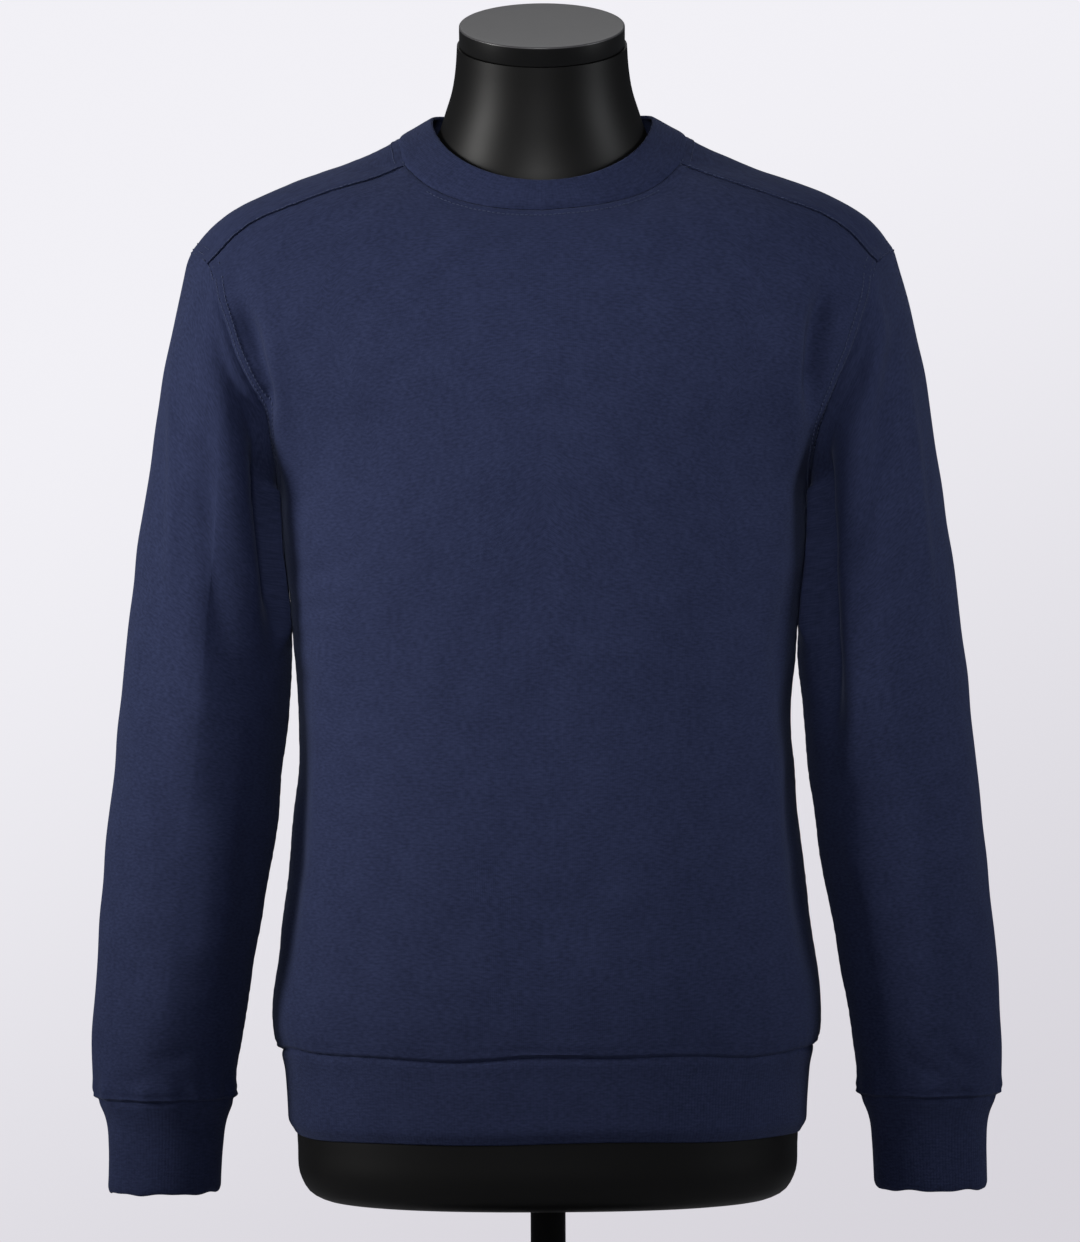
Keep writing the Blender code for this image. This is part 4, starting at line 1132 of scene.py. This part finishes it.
def newFinish(name, **sockets):
    # a material, its nodes and its shader, with the shader's constant sockets set
    made = bpy.data.materials.new(name)
    made.use_nodes = True
    shader = made.node_tree.nodes["Principled BSDF"]
    for socket, value in sockets.items():
        shader.inputs[socket.replace("_", " ")].default_value = value
    return made, made.node_tree, shader


knitFace = {"fullTurn": 6.28318, "legSwing": 0.25, "columnDrop": 0.8, "yarnStretch": (260, 700, 1),
            "yarnDetail": 3.0, "cloudScale": 55.0, "cloudDetail": 4.0, "cloudShare": 0.8,
            "napScale": 1500.0, "napDetail": 2.0}


def makeKnitGroup():
    # knit in UV metres: slanting stitch legs in upright wales, with uneven yarn and soft nap
    group, given, made = newGroup(
        "knitFace",
        {"Vector": None, "Wale": 0.0011, "Course": 0.0009, "Slant": 0.6, "Heather": 1.0},
        {"Height": None, "Shade": None, "Nap": None})
    split = addNode(group, "SeparateXYZ", {0: given["Vector"]}).outputs
    wale = math(group, "FRACT", math(group, "DIVIDE", split[0], given["Wale"]))
    inWale = math(group, "ABSOLUTE", math(group, "SUBTRACT", wale, 0.5))
    course = math(group, "DIVIDE", split[1], given["Course"])
    slanted = math(group, "ADD", course, math(group, "MULTIPLY", inWale, given["Slant"]))
    leg = math(group, "SINE", math(group, "MULTIPLY", slanted, knitFace["fullTurn"]))
    leg = math(group, "MULTIPLY_ADD", leg, knitFace["legSwing"], 0.5)
    edge = math(group, "POWER", math(group, "MULTIPLY", inWale, 2.0), 3.0)
    column = math(group, "SUBTRACT", 1.0, math(group, "MULTIPLY", edge, knitFace["columnDrop"]))
    feed(group, math(group, "MULTIPLY", leg, column), made["Height"])
    stretch = {"Vector": given["Vector"], "Scale": knitFace["yarnStretch"]}
    yarn = noise(group, addNode(group, "Mapping", stretch).outputs[0], 1.0, knitFace["yarnDetail"])
    cloud = noise(group, given["Vector"], knitFace["cloudScale"], knitFace["cloudDetail"])
    uneven = math(group, "MULTIPLY", math(group, "SUBTRACT", yarn, 0.5), given["Heather"])
    clouded = math(group, "MULTIPLY", math(group, "SUBTRACT", cloud, 0.5), knitFace["cloudShare"])
    feed(group, math(group, "ADD", uneven, clouded), made["Shade"])
    nap = noise(group, given["Vector"], knitFace["napScale"], knitFace["napDetail"])
    feed(group, nap, made["Nap"])
    return group


knitGroup = makeKnitGroup()


def makeKnit(name, look):
    # a knit cloth: dark and light yarn mixed by the group's shade, with painted shade in the hollows between stitch
    # legs, bumped by its stitches
    made, tree, shader = newFinish(
        name, Roughness=look["roughness"], Specular_IOR_Level=look["specular"],
        Sheen_Weight=look["sheen"], Sheen_Roughness=look["sheenRoughness"],
        Sheen_Tint=look["sheenTint"])
    inputs = {socket: look[socket.lower()] for socket in ("Wale", "Course", "Slant", "Heather")}
    inputs["Vector"] = addNode(tree, "UVMap", uv_map="cloth").outputs[0]
    knit = addNode(tree, "Group", node_tree=knitGroup)
    for socket, value in inputs.items():
        feed(tree, value, knit.inputs[socket])
    mixed = math(tree, "MULTIPLY_ADD", knit.outputs["Shade"], look["contrast"], 0.5)
    # painted shade: the colour is darker where the stitch height is low, between the legs, and lighter on the
    # highest legs
    stitchHollowShade = look["paintedStitchShade"]
    depth = math(tree, "MULTIPLY_ADD", knit.outputs["Height"], stitchHollowShade, -stitchHollowShade * 0.45)
    colour = between(tree, math(tree, "ADD", mixed, depth), look["dark"], look["light"])
    feed(tree, colour, shader.inputs["Base Color"])
    height = math(tree, "MULTIPLY_ADD", knit.outputs["Nap"], look["nap"], knit.outputs["Height"])
    bump = addNode(tree, "Bump", {"Strength": look["bump"], "Distance": look["bumpDepth"],
                                  "Height": height})
    feed(tree, bump.outputs[0], shader.inputs["Normal"])
    return made


fleeceLook = dict(dark=(0.0165, 0.0230, 0.0640, 1), light=(0.0300, 0.0400, 0.1020, 1),
                  roughness=0.88, specular=0.2, sheen=0.12, sheenRoughness=0.4,
                  sheenTint=(0.42, 0.50, 0.80, 1), wale=0.0011, course=0.0009, slant=0.6, heather=2.6, contrast=1.0,
                  paintedStitchShade=0.35, nap=0.5, bump=0.35, bumpDepth=0.0003)
ribLook = dict(fleeceLook, wale=0.0022, course=0.0010, slant=0.9, paintedStitchShade=0.5, nap=0.4,
               bump=0.5, bumpDepth=0.0005)


def makeSkinGroup():
    # a moulded or painted skin: slow clouds, the roughness that they sway, and a fine grain
    group, given, made = newGroup(
        "skinGrain",
        {"Vector": None, "Cloud Scale": 9.0, "Grain Scale": 1400.0, "Roughness": 0.4,
         "Spread": 0.1},
        {"Cloud": None, "Grain": None, "Rough": None})
    feed(group, noise(group, given["Vector"], given["Grain Scale"], 2.0), made["Grain"])
    cloud = noise(group, given["Vector"], given["Cloud Scale"], 5.0)
    feed(group, cloud, made["Cloud"])
    sway = math(group, "SUBTRACT", cloud, 0.5)
    rough = math(group, "MULTIPLY_ADD", sway, given["Spread"], given["Roughness"])
    feed(group, rough, made["Rough"])
    return group


skinGroup = makeSkinGroup()


def capFace(tree, place):
    # 1 where the height along the cap's leaning axis passes its rim, 0 below: the mask of the top face's grey,
    # which is partly the cap's own grey and partly painted reflection of the pale backdrop, and which also covers
    # the upper part of the rounded rim
    lean = np.radians(stand["capLean"])
    axis = Vector((0, -np.sin(lean), np.cos(lean)))
    foot = Vector((0, stand["neckY"], stand["neckZ"])).dot(axis)
    climb = addNode(tree, "VectorMath", {0: place, 1: axis}, operation="DOT_PRODUCT")
    low, high = [(foot + stand["capHeight"] - below) * mm for below in stand["rimBelow"]]
    return addNode(tree, "MapRange", {"Value": climb.outputs["Value"], "From Min": low,
                                      "From Max": high}).outputs[0]


def makeSatin(name, look):
    # a satin skin: faint cloudy unevenness in its colour, roughness and surface
    made, tree, shader = newFinish(name, Specular_IOR_Level=look["specular"])
    place = addNode(tree, "TexCoord").outputs["Object"]
    skin = addNode(tree, "Group", node_tree=skinGroup)
    for socket, value in (("Vector", place), ("Cloud Scale", look["cloudScale"]),
                          ("Grain Scale", look["grainScale"]), ("Roughness", look["roughness"]),
                          ("Spread", look["roughSpread"])):
        feed(tree, value, skin.inputs[socket])
    colour = between(tree, skin.outputs["Cloud"], look["dark"], look["light"])
    # the cap's top face: a grey that is partly its own colour and partly painted reflection of the pale backdrop
    if "topLight" in look:
        face = between(tree, skin.outputs["Cloud"], look["topDark"], look["topLight"])
        colour = between(tree, capFace(tree, place), colour, face)
    feed(tree, colour, shader.inputs["Base Color"])
    feed(tree, skin.outputs["Rough"], shader.inputs["Roughness"])
    bump = addNode(tree, "Bump", {"Strength": look["bump"], "Distance": 0.0002,
                                  "Height": skin.outputs["Grain"]})
    feed(tree, bump.outputs[0], shader.inputs["Normal"])
    return made


blackSatin = dict(dark=(0.0055, 0.0055, 0.0058, 1), light=(0.0085, 0.0083, 0.0082, 1),
                  cloudScale=9.0, grainScale=1400.0, roughness=0.46, roughSpread=0.10, bump=0.15, specular=0.22)
# the cap's top grey is partly its own grey and partly painted reflection of the pale backdrop
capLook = dict(blackSatin, roughness=0.34, cloudScale=20.0, bump=0.1, specular=0.5,
               topDark=(0.080, 0.078, 0.083, 1), topLight=(0.100, 0.098, 0.104, 1))
poleLook = dict(blackSatin, roughness=0.35, roughSpread=0.08, bump=0.08)
baseLook = dict(blackSatin, roughness=0.42, bump=0.12)
threadLook = dict(blackSatin, dark=(0.040, 0.052, 0.110, 1), light=(0.058, 0.072, 0.140, 1),
                  roughness=0.7, cloudScale=300.0)

fleece = makeKnit("navyFleece", fleeceLook)
rib = makeKnit("navyRib", ribLook)
yarn = makeSatin("navyThread", threadLook)
formSkin = makeSatin("blackFormSkin", blackSatin)
capSkin = makeSatin("greyCapTopWithPaintedReflection", capLook)
polePaint = makeSatin("blackPolePaint", poleLook)
basePaint = makeSatin("blackBasePaint", baseLook)
print("materials done")


pieces = (
    (frontPanel, fleece, "front_panel", "navy_fleece"),
    (backPanel, fleece, "back_panel", "navy_fleece"),
    (arms["left"][0], fleece, "sleeve_left", "navy_fleece"),
    (arms["right"][0], fleece, "sleeve_right", "navy_fleece"),
    (neckRib, rib, "neck_rib", "navy_rib"),
    (hemRib, rib, "hem_rib", "navy_rib"),
    (arms["left"][1], rib, "cuff_left", "navy_rib"),
    (arms["right"][1], rib, "cuff_right", "navy_rib"),
    (seamStitches, yarn, None, "navy_fleece"),
    (formTorso, formSkin, "form_torso", "black_form_skin"),
    (neckCap, capSkin, "neck_cap", "grey_cap_top"),
    (formPole, polePaint, "form_pole", "black_pole_paint"),
    (formBase, basePaint, "form_base", "black_base_paint"),
)
for piece, finish, node, slotName in pieces:
    piece.data.materials.append(finish)
    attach(piece, "root")
    if node:
        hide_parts(node)


def makeFloor():
    # a pale disc that fades out before its rim, so no edge of it shows
    turn = np.linspace(0, 2 * np.pi, 97)[:-1]
    radius = np.array((0.0, 0.3, 0.8, 1.4, 2.0, 2.8))
    x, y = radius[:, None] * np.cos(turn)[None], radius[:, None] * np.sin(turn)[None]
    points = np.stack((x, y, 0 * x - 0.0004), axis=-1) / mm
    number = np.arange(points.shape[0] * 96).reshape(-1, 96)
    number = np.concatenate((number, number[:, :1]), axis=1)
    floor = buildMesh("floor", points.reshape(-1, 3), gridFaces(number, True).tolist())
    made, tree, shader = newFinish("paleFloor", Base_Color=(0.80, 0.79, 0.82, 1), Roughness=0.9)
    place = addNode(tree, "TexCoord").outputs["Object"]
    far = addNode(tree, "VectorMath", {0: place}, operation="LENGTH").outputs["Value"]
    fade = addNode(tree, "MapRange", {"Value": far, "From Min": 0.7, "From Max": 1.7, "To Min": 1.0,
                                      "To Max": 0.0}, interpolation_type="SMOOTHSTEP")
    feed(tree, fade.outputs[0], shader.inputs["Alpha"])
    floor.data.materials.append(made)


def makeWorld():
    # a pale backdrop that the camera sees, with painted shade that makes it darker to the lower right, and a dimmer
    # light from it
    world = bpy.data.worlds.new("studio")
    bpy.context.scene.world = world
    world.use_nodes = True
    tree = world.node_tree
    tree.nodes.clear()
    place = addNode(tree, "TexCoord").outputs["Generated"]
    # painted shade: the backdrop's colour is darker below and to the right
    turned = addNode(tree, "VectorMath", {0: place, 1: (-0.45, 0.0, 1.0)}, operation="DOT_PRODUCT")
    fade = addNode(tree, "MapRange", {"Value": turned.outputs["Value"], "From Min": -0.17,
                                      "From Max": 0.10}, interpolation_type="SMOOTHSTEP")
    colour = between(tree, fade.outputs[0], (0.680, 0.660, 0.710, 1), (0.885, 0.875, 0.920, 1))
    seen = addNode(tree, "Background", {"Strength": 1.0, "Color": colour}).outputs[0]
    fill = addNode(tree, "Background", {"Strength": 0.05, "Color": (0.86, 0.90, 1.0, 1)}).outputs[0]
    path = addNode(tree, "LightPath").outputs["Is Camera Ray"]
    either = addNode(tree, "MixShader", {0: path, 1: fill, 2: seen}).outputs[0]
    addNode(tree, "OutputWorld", {"Surface": either})


lights = {
    "keyLight": dict(place=(-2.10, -0.80, 1.25), aim=(-0.20, -0.10, 0.76), size=(0.7, 0.7),
                     power=3.5, tint=(1.0, 0.99, 0.97), spread=51),
    "frontLight": dict(place=(-0.15, -2.40, 1.40), aim=(0.0, 0, 0.76), size=(0.5, 0.5),
                       power=0.72, tint=(1.0, 1.0, 1.0), spread=30),
    "fillLight": dict(place=(2.10, -0.75, 1.15), aim=(0.20, -0.08, 0.72), size=(0.7, 0.7),
                      power=1.5, tint=(0.96, 0.98, 1.0), spread=54),
    "topLight": dict(place=(-0.1, 0.9, 2.4), aim=(0, 0, 0.9), size=(1.2, 1.0), power=3.5,
                     tint=(1.0, 1.0, 1.0), spread=180),
}


def addLight(name, place, aim, size, power, tint, spread):
    # a rectangular soft light at a place, pointed at another; a narrow spread dims its rim
    made = bpy.data.lights.new(name, "AREA")
    made.shape = "RECTANGLE"
    made.size, made.size_y = size
    made.energy = power
    made.color = tint
    made.spread = np.radians(spread)
    lamp = bpy.data.objects.new(name, made)
    lamp.location = place
    lamp.rotation_euler = (Vector(aim) - Vector(place)).to_track_quat("-Z", "Y").to_euler()
    bpy.context.scene.collection.objects.link(lamp)


makeFloor()
makeWorld()
for name, light in lights.items():
    addLight(name, **light)

camera = bpy.data.cameras.new("camera")
camera.sensor_fit = "VERTICAL"
camera.sensor_height = 36
camera.lens = 152.35
viewer = bpy.data.objects.new("camera", camera)
viewer.location = (-0.0034, -3.6, 0.656)
viewer.rotation_euler = (np.radians(90), np.radians(0.3), 0)
bpy.context.scene.collection.objects.link(viewer)
bpy.context.scene.camera = viewer
bpy.context.scene.view_settings.view_transform = "Standard"
print("light and camera done")
